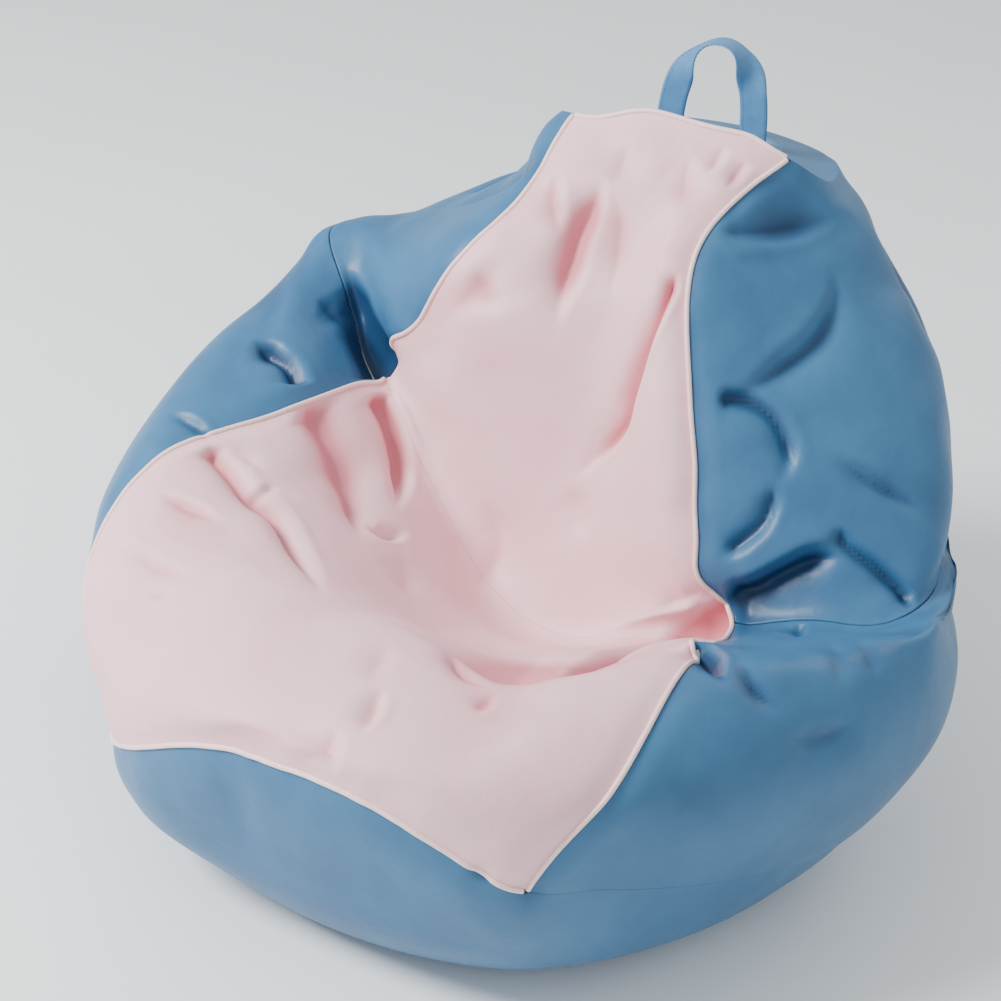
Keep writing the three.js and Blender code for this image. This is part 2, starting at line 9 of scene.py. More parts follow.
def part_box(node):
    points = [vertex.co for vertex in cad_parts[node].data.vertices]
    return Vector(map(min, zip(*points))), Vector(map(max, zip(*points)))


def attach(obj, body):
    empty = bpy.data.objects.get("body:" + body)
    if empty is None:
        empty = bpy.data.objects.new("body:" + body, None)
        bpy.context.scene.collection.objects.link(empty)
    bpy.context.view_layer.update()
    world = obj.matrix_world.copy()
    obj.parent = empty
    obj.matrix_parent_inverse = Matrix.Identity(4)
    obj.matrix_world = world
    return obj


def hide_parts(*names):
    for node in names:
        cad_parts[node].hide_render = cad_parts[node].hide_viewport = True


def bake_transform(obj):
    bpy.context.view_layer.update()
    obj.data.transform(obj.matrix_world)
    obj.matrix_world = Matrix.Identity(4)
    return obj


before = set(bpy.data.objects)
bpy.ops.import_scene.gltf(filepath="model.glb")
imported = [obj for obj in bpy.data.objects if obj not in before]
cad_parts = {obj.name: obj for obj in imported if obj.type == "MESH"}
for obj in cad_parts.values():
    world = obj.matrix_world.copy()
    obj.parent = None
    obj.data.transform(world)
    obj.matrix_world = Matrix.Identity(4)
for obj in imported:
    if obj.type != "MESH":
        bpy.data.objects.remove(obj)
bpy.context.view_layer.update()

scene = bpy.context.scene
mm = 0.001


# A socket given as a value is linked, anything else is set.
def feed(tree, node, inputs):
    for key, value in inputs.items():
        if isinstance(value, bpy.types.NodeSocket):
            tree.links.new(value, node.inputs[key])
        else:
            node.inputs[key].default_value = value


# One node with its settings and links.
def addNode(tree, kind, inputs=None, **settings):
    node = tree.nodes.new(kind)
    for key, value in settings.items():
        setattr(node, key, value)
    feed(tree, node, inputs or {})
    return node


def linear(hexColour):
    parts = [int(hexColour[k:k + 2], 16) / 255 for k in (1, 3, 5)]
    return tuple(c / 12.92 if c <= 0.04045 else ((c + 0.055) / 1.055) ** 2.4 for c in parts) + (1.0,)


# The cover is one smooth surface: u runs round eight stations, v runs up the rings.
cover = {
    "angles": [0, 40, 88, 137, 180, 223, 272, 322],
    "seamRadius": 396, "seamHeight": 75, "seamLift": 16,  # the base seam
    "footInset": 98, "turnInset": 50, "turnHeight": 24,  # the flat round under the chair
    "lean": 20.8, "pitch": 84.5, "band": 0.2,  # the true cone that the zip follows
    "capCentre": (-8, 328, 629),
    "wall": 1.6, "stations": 8,
}
floorCentre, baseSeam, waistSeam, capSeam, capTop = -1, 3, 7, 11, 12  # rings
uprightSeams = (1, 3, 5, 7)  # stations


def onCircle(angle, radius, height):
    turn = math.radians(angle)
    return radius * math.sin(turn), -radius * math.cos(turn), height


def coverRings():
    wide = cover["seamRadius"]
    foot = [onCircle(a, wide - cover["footInset"], 0) for a in cover["angles"]]
    turn = [onCircle(a, wide - cover["turnInset"], cover["turnHeight"]) for a in cover["angles"]]
    low = [
        (0, -392, 100), (252, -306, 80), onCircle(92, wide - 24, 46), onCircle(136.2, wide - 20, 42),
        onCircle(180, wide - 20, 42), onCircle(223.8, wide - 20, 42), onCircle(268, wide - 25, 46), (-200, -340, 68),
    ]
    base = [
        (0, -420, 248), (250, -343, 192), onCircle(93, wide, 80), onCircle(136.2, wide, 75),
        onCircle(180, wide, 75), onCircle(223.8, wide, 75), onCircle(268, wide - 6, 80), (-212, -360, 136),
    ]
    belly = [
        (0, -410, 292), (285, -285, 275), (440, 70, 196), (306, 318, 196),
        (0, 436, 200), (-308, 316, 202), (-428, 20, 220), (-316, -288, 222),
    ]
    crest = [
        (0, -270, 315), (272, -160, 325), (412, 96, 296), (302, 340, 290),
        (0, 448, 300), (-305, 338, 330), (-404, 80, 366), (-308, -200, 328),
    ]
    seat = [
        (0, -110, 215), (240, -30, 275), (392, 118, 310), (294, 362, 330),
        (0, 452, 350), (-298, 348, 370), (-388, 138, 420), (-255, -60, 352),
    ]
    waist = [
        (0, 32, 170), (217, 72, 238), (362, 152, 313), (282, 376, 350),
        (0, 450, 380), (-290, 350, 395), (-366, 176, 446), (-236, 86, 352),
    ]
    footOfBack = [
        (0, 90, 290), (175, 75, 320), (336, 214, 368), (262, 382, 410),
        (0, 442, 440), (-264, 354, 448), (-316, 210, 470), (-206, 88, 408),
    ]
    middleOfBack = [
        (0, 120, 440), (118, 105, 445), (284, 264, 450), (220, 390, 490),
        (0, 432, 510), (-214, 360, 518), (-262, 236, 494), (-165, 92, 498),
    ]
    shoulders = [
        (0, 175, 575), (72, 165, 567), (196, 304, 548), (166, 394, 560),
        (0, 424, 580), (-160, 372, 573), (-200, 270, 540), (-130, 155, 570),
    ]
    cap = [
        (12, 242, 662), (102, 262, 651), (126, 326, 633), (98, 400, 615),
        (0, 420, 612), (-108, 388, 605), (-156, 296, 604), (-115, 225, 633),
    ]
    rows = [foot, turn, low, base, belly, crest, seat, waist, footOfBack, middleOfBack, shoulders, cap]
    rings = np.array(rows, float)
    before, after = 2 * rings[0] - rings[1], 2 * rings[-1] - rings[-2]
    return np.concatenate([before[None], rings, after[None]])


rings = coverRings()
capCentre = np.array(cover["capCentre"], float)


def smoothstep(x, low, high):
    t = np.clip((x - low) / (high - low), 0, 1)
    return t * t * (3 - 2 * t)


# Stations between a place and the middle of the front, or the middle of the back.
def fromFront(u):
    turn = u % cover["stations"]
    return np.minimum(turn, cover["stations"] - turn)


def fromBack(u):
    return np.abs(u % cover["stations"] - cover["stations"] / 2)


# A grid that runs all round at each of the given rings.
def roundGrid(rows, columns):
    u = np.arange(columns) * cover["stations"] / columns
    return np.broadcast_to(u, (len(rows), columns)), np.broadcast_to(rows[:, None], (len(rows), columns))


def lengthsAlong(line):
    return np.concatenate([[0], np.cumsum(np.linalg.norm(np.diff(line, axis=0), axis=1))])


def meanLength(grid, axis):
    return np.linalg.norm(np.diff(grid, axis=axis), axis=-1).sum(axis).mean()


def spline(a, b, c, d, t):
    return b + 0.5 * t * ((c - a) + t * ((2 * a - 5 * b + 4 * c - d) + t * (3 * (b - c) + d - a)))


def conePoint(angle, up, out):
    lean = math.radians(cover["lean"])
    radius = cover["seamRadius"] + up * math.sin(lean) + out * math.cos(lean)
    height = cover["seamHeight"] + up * math.cos(lean) - out * math.sin(lean)
    return np.stack([radius * np.sin(angle), radius * np.cos(angle), height + 0 * angle], -1)


def patternPoint(u, v):
    u, v = np.broadcast_arrays(np.asarray(u, float), np.asarray(v, float))
    flat = np.clip(v, 0, capSeam)
    row = np.minimum(np.floor(flat).astype(int), capSeam - 1)
    column = np.floor(u).astype(int)
    across, upward = (u - column)[..., None], (flat - row)[..., None]
    stations = cover["stations"]
    rows = [
        spline(*(rings[row + k, (column + j) % stations] for j in (-1, 0, 1, 2)), across) for k in range(4)
    ]
    point = spline(*rows, upward)
    turn = u % stations
    bell = np.exp(-(((flat - baseSeam) / 0.8) ** 2))
    point[..., 2] += np.where(turn < 1, cover["seamLift"] * np.sin(math.pi * turn) ** 2 * bell * (v > 0), 0)
    behind = 1 - smoothstep(fromBack(u), 1.1, 1.6)
    near = 1 - smoothstep(np.abs(flat - baseSeam), cover["band"], 0.75)
    cone = conePoint(np.arctan2(point[..., 0], point[..., 1]), (flat - baseSeam) * cover["pitch"], 0)
    point = point + (cone - point) * (behind * near)[..., None]
    point = point * (1 + np.minimum(v, 0))[..., None]  # the flat round narrows to its middle
    return point + (capCentre - point) * np.clip(v - capSeam, 0, 1)[..., None]


coverNodes = [
    "base_panel", "seat_panel", "backrest_panel", "right_side_lower_panel", "right_side_upper_panel",
    "rear_lower_panel", "rear_upper_panel", "left_side_lower_panel", "left_side_upper_panel", "top_cap",
]


# How the pattern lies in the frame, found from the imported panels' own boxes.
def patternFit():
    boxes = [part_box(name) for name in coverNodes]
    low = np.min([list(b[0]) for b in boxes], 0)
    high = np.max([list(b[1]) for b in boxes], 0)
    rows = np.concatenate([np.linspace(0, baseSeam, 7), np.linspace(baseSeam, waistSeam, 9)[1:]])
    sample = patternPoint(np.arange(0, 8, 0.125)[None, :], rows[:, None]).reshape(-1, 3)
    scale = np.ones(3) * mm
    scale[:2] = (high - low)[:2] / (sample.max(0) - sample.min(0))[:2]
    capHigh = patternPoint(np.arange(0, 8, 0.25), capSeam)[:, 2].max()
    scale[2] = high[2] / capHigh
    shift = (high + low) / 2 - (sample.max(0) + sample.min(0)) / 2 * scale
    shift[2] = 0
    return scale, shift


scale, shift = patternFit()
print("pattern fit", np.round(scale * 1000, 4), np.round(shift, 4))


def inFrame(points):
    return np.asarray(points, float) * scale + shift


# Places where the filled cover has shifted from its pattern: how far, in mm, and how wide the shift is.
shifts = [
    {"at": (7, 7.45), "move": (-18, -4, 9), "reach": 30},  # left waist corner, where the side hangs over
    {"at": (7, 6.98), "move": (14, 2, -9), "reach": 22},
    {"at": (6.05, 7), "move": (-11, -3, 6), "reach": 45},
    {"at": (6.7, 10.75), "move": (-9, 4, 13), "reach": 45},  # shoulders and the cap's edge
    {"at": (7.6, 11), "move": (-4, 4, 10), "reach": 42},
    {"at": (0.5, 11), "move": (4, 5, 4), "reach": 26},
    {"at": (1, 11), "move": (4, 3, 1), "reach": 24},
    {"at": (2, 11), "move": (8, -6, -15), "reach": 55},
    {"at": (1, 7.65), "move": (-14, -11, -4), "reach": 34},  # right waist corner
    {"at": (1, 8.15), "move": (-7, -4, -1), "reach": 40},
    {"at": (1, 7), "move": (1, 3, 4), "reach": 20},
    {"at": (1, 5.8), "move": (-12, -2, 8), "reach": 20},
    {"at": (1.75, 7), "move": (5, -5, -14), "reach": 50},  # the right side sags on to the seat
    {"at": (2.2, 7), "move": (12, -10, -28), "reach": 60},
    {"at": (2.3, 7.7), "move": (10, -4, 0), "reach": 70},
    {"at": (2.6, 7), "move": (8, -6, -32), "reach": 65},
    {"at": (1, 3), "move": (3, -3, -8), "reach": 50},  # front corner and the lip of the seat
    {"at": (0.45, 5.1), "move": (5, -5, -12), "reach": 60},
]


def surface(u, v):
    points = inFrame(patternPoint(u, v))
    moved = points.copy()
    for at, move, reach in shiftPlaces:
        distance = np.linalg.norm(points - at, axis=-1)
        moved += np.exp(-(distance / reach) ** 2)[..., None] * move
    return moved


shiftPlaces = [
    (inFrame(patternPoint(*place["at"])), np.array(place["move"]) * mm, place["reach"] * mm) for place in shifts
]


def slopes(u, v, step=0.02):
    polar = np.clip(v, floorCentre + step, capTop - step)
    alongU = (surface(u + step, polar) - surface(u - step, polar)) / (2 * step)
    alongV = (surface(u, polar + step) - surface(u, polar - step)) / (2 * step)
    return alongU, alongV


def unit(vectors):
    return vectors / np.maximum(np.linalg.norm(vectors, axis=-1, keepdims=True), 1e-12)


# 0 in the round under the chair, which lies flat on the floor, and 1 above it.
def aboveFloor(v):
    return smoothstep(v, 0.6, 1.6)


def outward(u, v, step=0.06):
    alongU, alongV = slopes(u, v, step)
    return unit(np.cross(alongU, alongV))


# 1 where u and v lines cross squarely, less where they lean over.
def squareness(alongU, alongV):
    return np.linalg.norm(np.cross(unit(alongU), unit(alongV)), axis=-1)


# Folds on the cover: valleys have a positive depth and ridges a negative one, in mm.
# lip is the height of the cloth pushed up on the fold's left, or on its right where it is negative.
folds = [
    # left waist corner: the side's crisp edge, the tuck beneath it and the gather in the pink
    {"path": [(6.39, 7.14), (6.58, 7.1), (6.77, 7.05), (6.93, 7.04), (7.0, 6.98)], "depth": 14, "width": 6.5,
     "lip": 5, "fade": (0.4, 0.02)},
    {"path": [(6.62, 6.96), (6.79, 6.98), (6.92, 7.0), (6.99, 6.96)], "depth": 8, "width": 8, "fade": (0.5, 0.02)},
    {"path": [(6.56, 5.79), (6.69, 6.01), (6.8, 6.16), (6.92, 6.21)], "depth": 11, "width": 7, "lip": 4,
     "fade": (0.35, 0.08)},
    {"path": [(6.78, 5.12), (6.88, 5.3), (6.96, 5.41), (7.04, 5.44)], "depth": 5, "width": 5, "lip": 2.5},
    {"path": [(6.5, 6.56), (6.62, 6.75), (6.73, 6.86)], "depth": 4, "width": 8},
    {"path": [(7.06, 6.83), (7.19, 6.87), (7.31, 6.82), (7.4, 6.66), (7.47, 6.44)], "depth": 12, "width": 6.5,
     "lip": 4, "fade": (0.06, 0.4)},
    {"path": [(7.08, 7.07), (7.18, 7.07), (7.29, 7.07), (7.39, 7.12)], "depth": -4, "width": 5},
    {"path": [(7.48, 6.2), (7.53, 6.21), (7.55, 6.32), (7.55, 6.47)], "depth": 7, "width": 4.5, "lip": -3},
    # left arm, pink side
    {"path": [(7.06, 5.43), (7.22, 5.48), (7.33, 5.49), (7.42, 5.55), (7.53, 5.49), (7.7, 5.32), (7.86, 5.08)],
     "depth": 10, "width": 7.5, "lip": 4, "fade": (0.04, 0.45)},
    {"path": [(7.33, 5.51), (7.32, 5.6), (7.3, 5.7)], "depth": 4, "width": 4, "lip": 2, "fade": (0.1, 0.5)},
    {"path": [(7.08, 5.51), (7.16, 5.61), (7.24, 5.67)], "depth": 3, "width": 5},
    {"path": [(7.0, 6.21), (7.12, 6.27), (7.26, 6.27), (7.4, 6.2), (7.56, 6.0)], "depth": 11, "width": 12,
     "fade": (0.1, 0.3)},
    {"path": [(7.16, 4.94), (7.3, 5.08), (7.35, 5.13), (7.42, 5.17)], "depth": 4.5, "width": 5, "lip": 2.5},
    {"path": [(7.16, 4.5), (7.31, 4.55), (7.41, 4.58), (7.55, 4.7)], "depth": 4, "width": 6, "lip": 2},
    {"path": [(7.47, 4.52), (7.48, 4.38)], "depth": 3, "width": 5},
    # backrest
    {"path": [(7.56, 10.33), (7.59, 10.11), (7.6, 9.8), (7.64, 9.55), (7.67, 9.3), (7.72, 9.03)], "depth": 9,
     "width": 8, "lip": 3, "fade": (0.3, 0.35)},
    {"path": [(7.54, 10.4), (7.57, 10.1), (7.6, 9.8), (7.66, 9.4), (7.72, 9.1)], "depth": 5, "width": 17},
    {"path": [(7.64, 10.25), (7.73, 10.11), (7.83, 9.96), (7.91, 9.73), (8.0, 9.41)], "depth": 5, "width": 8},
    {"path": [(7.21, 10.39), (7.27, 10.11), (7.37, 9.91), (7.51, 9.68)], "depth": 5, "width": 7, "lip": 2.5},
    {"path": [(0.9, 9.82), (0.76, 9.63), (0.63, 9.44), (0.49, 9.2), (0.43, 9.03), (0.39, 8.86), (0.36, 8.69),
              (0.23, 8.48), (0.15, 8.33), (0.05, 8.17)], "depth": 10, "width": 5.5, "lip": 4, "fade": (0.08, 0.25)},
    {"path": [(0.64, 9.58), (0.42, 9.24), (0.29, 8.82), (0.15, 8.5), (0.04, 8.22)], "depth": 5, "width": 22},
    {"path": [(0.36, 10.84), (0.45, 10.6)], "depth": 4, "width": 5, "lip": 2, "fade": (0.05, 0.5)},
    {"path": [(0.67, 10.82), (0.73, 10.7), (0.8, 10.56)], "depth": 4, "width": 5, "lip": 2, "fade": (0.05, 0.5)},
    {"path": [(7.6, 10.7), (7.64, 10.45), (7.67, 10.2)], "depth": 4, "width": 10},
    {"path": [(8.1, 10.73), (8.25, 10.45), (8.49, 10.23)], "depth": 3, "width": 9},
    {"path": [(7.13, 9.08), (7.3, 9.0), (7.41, 8.82)], "depth": 5, "width": 15},
    {"path": [(7.62, 7.47), (7.73, 7.43), (7.79, 7.24), (7.8, 6.8)], "depth": 5, "width": 12},
    {"path": [(8.04, 8.14), (8.13, 7.98), (8.27, 7.83)], "depth": 4, "width": 9},
    # right waist corner: the groove between the seat and the foot of the back
    {"path": [(0.99, 6.96), (0.84, 6.97), (0.74, 6.8), (0.66, 6.3), (0.64, 5.8), (0.64, 5.35), (0.62, 5.0)],
     "depth": 17, "width": 8, "lip": -5, "fade": (0.01, 0.3)},
    {"path": [(0.92, 7.36), (0.71, 7.28), (0.5, 7.09), (0.32, 6.7)], "depth": -7, "width": 10, "fade": (0.1, 0.4)},
    {"path": [(0.67, 7.35), (0.95, 7.45)], "depth": 4, "width": 6},
    # front of the seat, whose lip is pressed down in the middle
    {"path": [(0.38, 6.2), (0.42, 5.7), (0.46, 5.2), (0.48, 4.8)], "depth": 14, "width": 32, "fade": (0.5, 0.3)},
    {"path": [(0.27, 5.15), (0.38, 4.91), (0.5, 4.76)], "depth": 5, "width": 6, "lip": 2},
    {"path": [(0.45, 5.32), (0.58, 4.88)], "depth": 3, "width": 6},
    {"path": [(0.27, 4.5), (0.29, 4.31), (0.32, 4.07)], "depth": 6, "width": 5, "lip": 3.5},
    {"path": [(0.17, 4.88), (0.2, 4.64), (0.24, 4.45)], "depth": 3.5, "width": 8},
    {"path": [(0.25, 4.12), (0.28, 3.69), (0.35, 3.15)], "depth": 4, "width": 7, "lip": 1.5},
    {"path": [(0.52, 4.74), (0.52, 4.62), (0.52, 4.5)], "depth": 3.5, "width": 4, "lip": 1.5},
    {"path": [(7.6, 6.27), (7.71, 6.18), (7.8, 5.96)], "depth": 4, "width": 12},
    {"path": [(0.8, 2.98), (0.9, 3.0)], "depth": 2.5, "width": 4},
    # right side, lower
    {"path": [(1.02, 5.75), (1.1, 5.2), (1.18, 4.88)], "depth": 10, "width": 5.5, "lip": 4, "fade": (0.02, 0.35)},
    {"path": [(1.33, 6.9), (1.37, 5.94)], "depth": 4.5, "width": 4.5, "lip": 1.5, "fade": (0.03, 0.5)},
    {"path": [(1.16, 5.32), (1.28, 4.84), (1.38, 4.62)], "depth": 5, "width": 6, "lip": 2},
    {"path": [(1.36, 4.46), (1.51, 4.36), (1.66, 4.5)], "depth": 4, "width": 9},
    {"path": [(1.48, 5.96), (1.54, 5.0), (1.59, 4.65)], "depth": 3, "width": 8},
    {"path": [(1.6, 5.9), (1.66, 5.2), (1.7, 4.7)], "depth": 3, "width": 7},
    # right side, upper: the dent by the cap, the bulge beneath it and the sag above the waist
    {"path": [(1.06, 10.2), (1.2, 10.22), (1.34, 10.26), (1.5, 10.34), (1.7, 10.46), (1.95, 10.6)], "depth": 4.5,
     "width": 8, "lip": -4, "fade": (0.15, 0.5)},
    {"path": [(1.13, 10.36), (1.3, 10.46), (1.52, 10.5), (1.85, 10.46)], "depth": 2.5, "width": 18},
    {"path": [(1.72, 10.09), (1.74, 9.82), (1.63, 9.51), (1.45, 9.27), (1.28, 9.08), (1.16, 9.0)], "depth": 8,
     "width": 9, "lip": -4},
    {"path": [(1.14, 9.02), (1.27, 9.0), (1.36, 8.91), (1.4, 8.76), (1.4, 8.57), (1.34, 8.36)], "depth": 8,
     "width": 6, "lip": 3.5, "fade": (0.08, 0.35)},
    {"path": [(1.34, 8.46), (1.32, 8.29), (1.27, 8.1), (1.18, 7.93), (1.11, 7.79)], "depth": 7, "width": 5,
     "lip": 3, "fade": (0.3, 0.2)},
    {"path": [(1.06, 7.54), (1.23, 7.71), (1.4, 7.88), (1.55, 7.98)], "depth": -6, "width": 9},
    {"path": [(1.55, 8.05), (1.6, 7.86), (1.75, 7.67), (1.91, 7.42), (2.06, 7.0)], "depth": 7, "width": 4.5,
     "lip": 3, "fade": (0.15, 0.15)},
    {"path": [(1.02, 7.3), (1.16, 7.38), (1.3, 7.57), (1.46, 7.73), (1.6, 7.78)], "depth": 13, "width": 8,
     "fade": (0.15, 0.35)},
    {"path": [(1.54, 8.62), (1.67, 8.44), (1.83, 8.28), (2.04, 8.08)], "depth": 6, "width": 7, "lip": 4},
    # back and left, where the cloth hangs from the cap and settles on the base
    {"path": [(3.02, 10.7), (2.9, 10.1), (2.7, 9.5), (2.62, 8.9)], "depth": 8, "width": 10, "lip": 4},
    {"path": [(3.3, 10.9), (3.42, 10.2), (3.4, 9.5)], "depth": 7, "width": 10, "lip": 3, "fade": (0.05, 0.4)},
    {"path": [(4.6, 10.92), (4.5, 10.3), (4.56, 9.7)], "depth": 6, "width": 9, "lip": -3, "fade": (0.05, 0.4)},
    {"path": [(5.0, 7.3), (4.7, 7.5), (4.3, 7.46), (3.9, 7.3)], "depth": 8, "width": 12, "lip": 4},
    {"path": [(3.0, 6.7), (3.3, 6.4), (3.7, 6.3), (4.1, 6.42)], "depth": 7, "width": 13},
    {"path": [(5.03, 6.8), (5.3, 6.5), (5.7, 6.2), (6.0, 5.7)], "depth": 9, "width": 10, "lip": 4},
    {"path": [(5.0, 10.4), (5.3, 9.9), (5.6, 9.3), (5.7, 8.6)], "depth": 8, "width": 11, "lip": -4},
    {"path": [(6.9, 10.5), (6.6, 10.1), (6.3, 9.6), (6.1, 9.0)], "depth": 8, "width": 11, "lip": 4},
    {"path": [(2.2, 7.2), (2.5, 7.4), (2.8, 7.7), (2.97, 8.1)], "depth": 7, "width": 11},
    {"path": [(5.0, 4.9), (5.4, 4.6), (5.8, 4.6)], "depth": 5, "width": 13},
    {"path": [(2.98, 5.2), (2.6, 4.9), (2.2, 4.9)], "depth": 5, "width": 13},
]


# A smooth line through a fold's places, as points on the cover and the share of its length at each.
def foldLine(path, pieces=8):
    places = np.array(path, float)
    ends = np.concatenate([[2 * places[0] - places[1]], places, [2 * places[-1] - places[-2]]])
    shares = np.linspace(0, 1, pieces, endpoint=False)[:, None]
    parts = [spline(*ends[k:k + 4], shares) for k in range(len(places) - 1)]
    line = np.concatenate(parts + [places[-1:]])
    points = surface(line[:, 0], line[:, 1])
    along = lengthsAlong(points)
    return points, outward(line[:, 0], line[:, 1]), along / along[-1]


foldLines = [(fold, *foldLine(fold["path"])) for fold in folds]
foldShape = {
    "force": 1.5, "core": 0.62, "corePower": 1.3, "side": 0.6, "sideWidth": 2.7,  # a sharp core and soft sides
    "lip": 0.75, "lipAt": 2.1, "lipWidth": 1.25, "fade": (0.42, 0.42), "reach": 5.5,
}


def foldRelief(points, spread=1.0, valleysOnly=False):
    flat = points.reshape(-1, 3)
    total = np.zeros(len(flat))
    for fold, line, out, along in foldLines:
        if valleysOnly and fold["depth"] < 0:
            continue
        width = fold["width"] * mm * spread
        reach = foldShape["reach"] * width
        near = np.flatnonzero(np.all((flat > line.min(0) - reach) & (flat < line.max(0) + reach), axis=1))
        if not len(near):
            continue
        here = flat[near]
        best = np.full(len(near), 1e9)
        side, share = np.zeros(len(near)), np.zeros(len(near))
        for k in range(len(line) - 1):
            way = line[k + 1] - line[k]
            t = np.clip((here - line[k]) @ way / (way @ way), 0, 1)
            gap = here - (line[k] + t[:, None] * way)
            distance = np.linalg.norm(gap, axis=1)
            closer = distance < best
            best = np.where(closer, distance, best)
            left = gap @ unit(np.cross(out[k], way))
            side = np.where(closer, np.sign(left + 1e-12), side)
            share = np.where(closer, along[k] + t * (along[k + 1] - along[k]), share)
        start, end = fold.get("fade", foldShape["fade"])
        strength = smoothstep(share, -0.001, start) * (1 - smoothstep(share, 1 - end, 1.001))
        signed = best * side / (width * (0.5 + 0.5 * strength))  # narrower where it runs out
        crease = foldShape["core"] * np.exp(-np.abs(signed) ** foldShape["corePower"])
        crease += foldShape["side"] * np.exp(-(signed / foldShape["sideWidth"]) ** 2)
        relief = -foldShape["force"] * fold["depth"] * crease
        lip = fold.get("lip", 0)
        if lip and not valleysOnly:
            off = (signed - foldShape["lipAt"] * np.sign(lip)) / foldShape["lipWidth"]
            relief += foldShape["force"] * foldShape["lip"] * abs(lip) * np.exp(-off ** 2)
        total[near] += relief * strength * mm
    return total.reshape(points.shape[:-1])


# Seams draw the cloth in, with puckers beside the thread.
seams = {"dip": 3.4, "reach": 16, "pucker": 0.9, "puckerReach": 15, "puckerLength": 17, "seed": 7}
puckerNoise = np.random.default_rng(seams["seed"]).uniform(-1, 1, (8, 512))


def seamDistance(u, v):
    alongU, alongV = slopes(u, v)
    lean = squareness(alongU, alongV)
    wide = np.linalg.norm(alongU, axis=-1) * lean
    high = np.linalg.norm(alongV, axis=-1) * lean
    turn = u % cover["stations"]
    beyond = np.where(v < baseSeam, (baseSeam - v) * high, 0), np.where(v > capSeam, (v - capSeam) * high, 0)
    upright = [np.abs((turn - s + 4) % 8 - 4) * wide + beyond[0] + beyond[1] for s in uprightSeams]
    level = [np.abs(v - s) * high for s in (baseSeam, waistSeam, capSeam)]
    return upright, level


# 1 in the band that holds the zip, which stays a true cone.
def besideZip(u, v):
    behind = 1 - smoothstep(fromBack(u), 1.2, 1.5)
    return behind * (1 - smoothstep(np.abs(v - baseSeam), 0.2, 0.5))


def puckers(along, row):
    at = along / (seams["puckerLength"] * mm)
    low = np.floor(at).astype(int)
    t = smoothstep(at - low, 0, 1)
    table = puckerNoise[row]
    return table[low % len(table)] * (1 - t) + table[(low + 1) % len(table)] * t


# 1 in the pink front, falling to 0 within the soft width past its seams.
def pinkShare(u, soft):
    return 1 - smoothstep(fromFront(u), 1, 1 + soft)


def seamRelief(u, v, points):
    upright, level = seamDistance(u, v)
    turn = u % cover["stations"]
    pinkMiddle = np.exp(-((fromFront(u) / 0.62) ** 4))  # the waist seam is loose in the seat
    weights = [1] * len(upright) + [
        0.12 + 0.38 * pinkShare(u, 0.3),  # the base seam is hardly seen where blue is sewn to blue
        0.5 - 0.5 * pinkMiddle, 0.35,
    ]
    total = np.zeros(u.shape)
    for row, (distance, weight) in enumerate(zip(upright + level, weights)):
        along = points[..., 2] if row < 4 else np.hypot(points[..., 0], points[..., 1]) * turn * 0.78
        bend = np.exp(-(distance / (seams["reach"] * mm)) ** 2)
        total -= seams["dip"] * bend * weight
        ripple = np.exp(-(distance / (seams["puckerReach"] * mm)) ** 1.5)
        total += seams["pucker"] * puckers(along, row) * ripple * weight
    return total * mm * (1 - besideZip(u, v)) * smoothstep(v, 1.2, 2.2)


# The filled cover is let go as cloth between its seams, and its swells and wrinkles are kept.
settle = {
    "columns": 216, "rows": 104, "frames": 18, "pressure": 2.2, "stretch": -0.035,
    "cap": 8, "keepBroad": 0.35, "broadSteps": 30, "fineSteps": 2, "share": 0.55,
    "quality": 5, "mass": 0.25, "tension": 20, "shear": 8, "bending": 0.6,
}


def gridSample(field, u, v, rowTop):
    rows, columns = field.shape
    x = (u % cover["stations"]) / cover["stations"] * columns
    y = np.clip(v, 0, rowTop) / rowTop * (rows - 1)
    column = np.floor(x).astype(int)
    row = np.minimum(np.floor(y).astype(int), rows - 2)
    tx, ty = x - column, y - row
    strips = []
    for k in range(-1, 3):
        line = np.clip(row + k, 0, rows - 1)
        strips.append(spline(*(field[line, (column + j) % columns] for j in (-1, 0, 1, 2)), tx))
    return spline(*strips, ty)


def blurred(field, steps):
    for _ in range(steps):
        field = (np.roll(field, 1, 1) + np.roll(field, -1, 1) + 2 * field) / 4
        up = np.concatenate([field[:1], field[:-1]])
        down = np.concatenate([field[1:], field[-1:]])
        field = (up + down + 2 * field) / 4
    return field


def gridFaces(rows, columns, wraps):
    ids = np.arange(rows * columns).reshape(rows, columns)
    right = np.roll(ids, -1, 1)
    if not wraps:
        ids, right = ids[:, :-1], right[:, :-1]
    return np.stack([ids[:-1], right[:-1], right[1:], ids[1:]], -1).reshape(-1, 4)


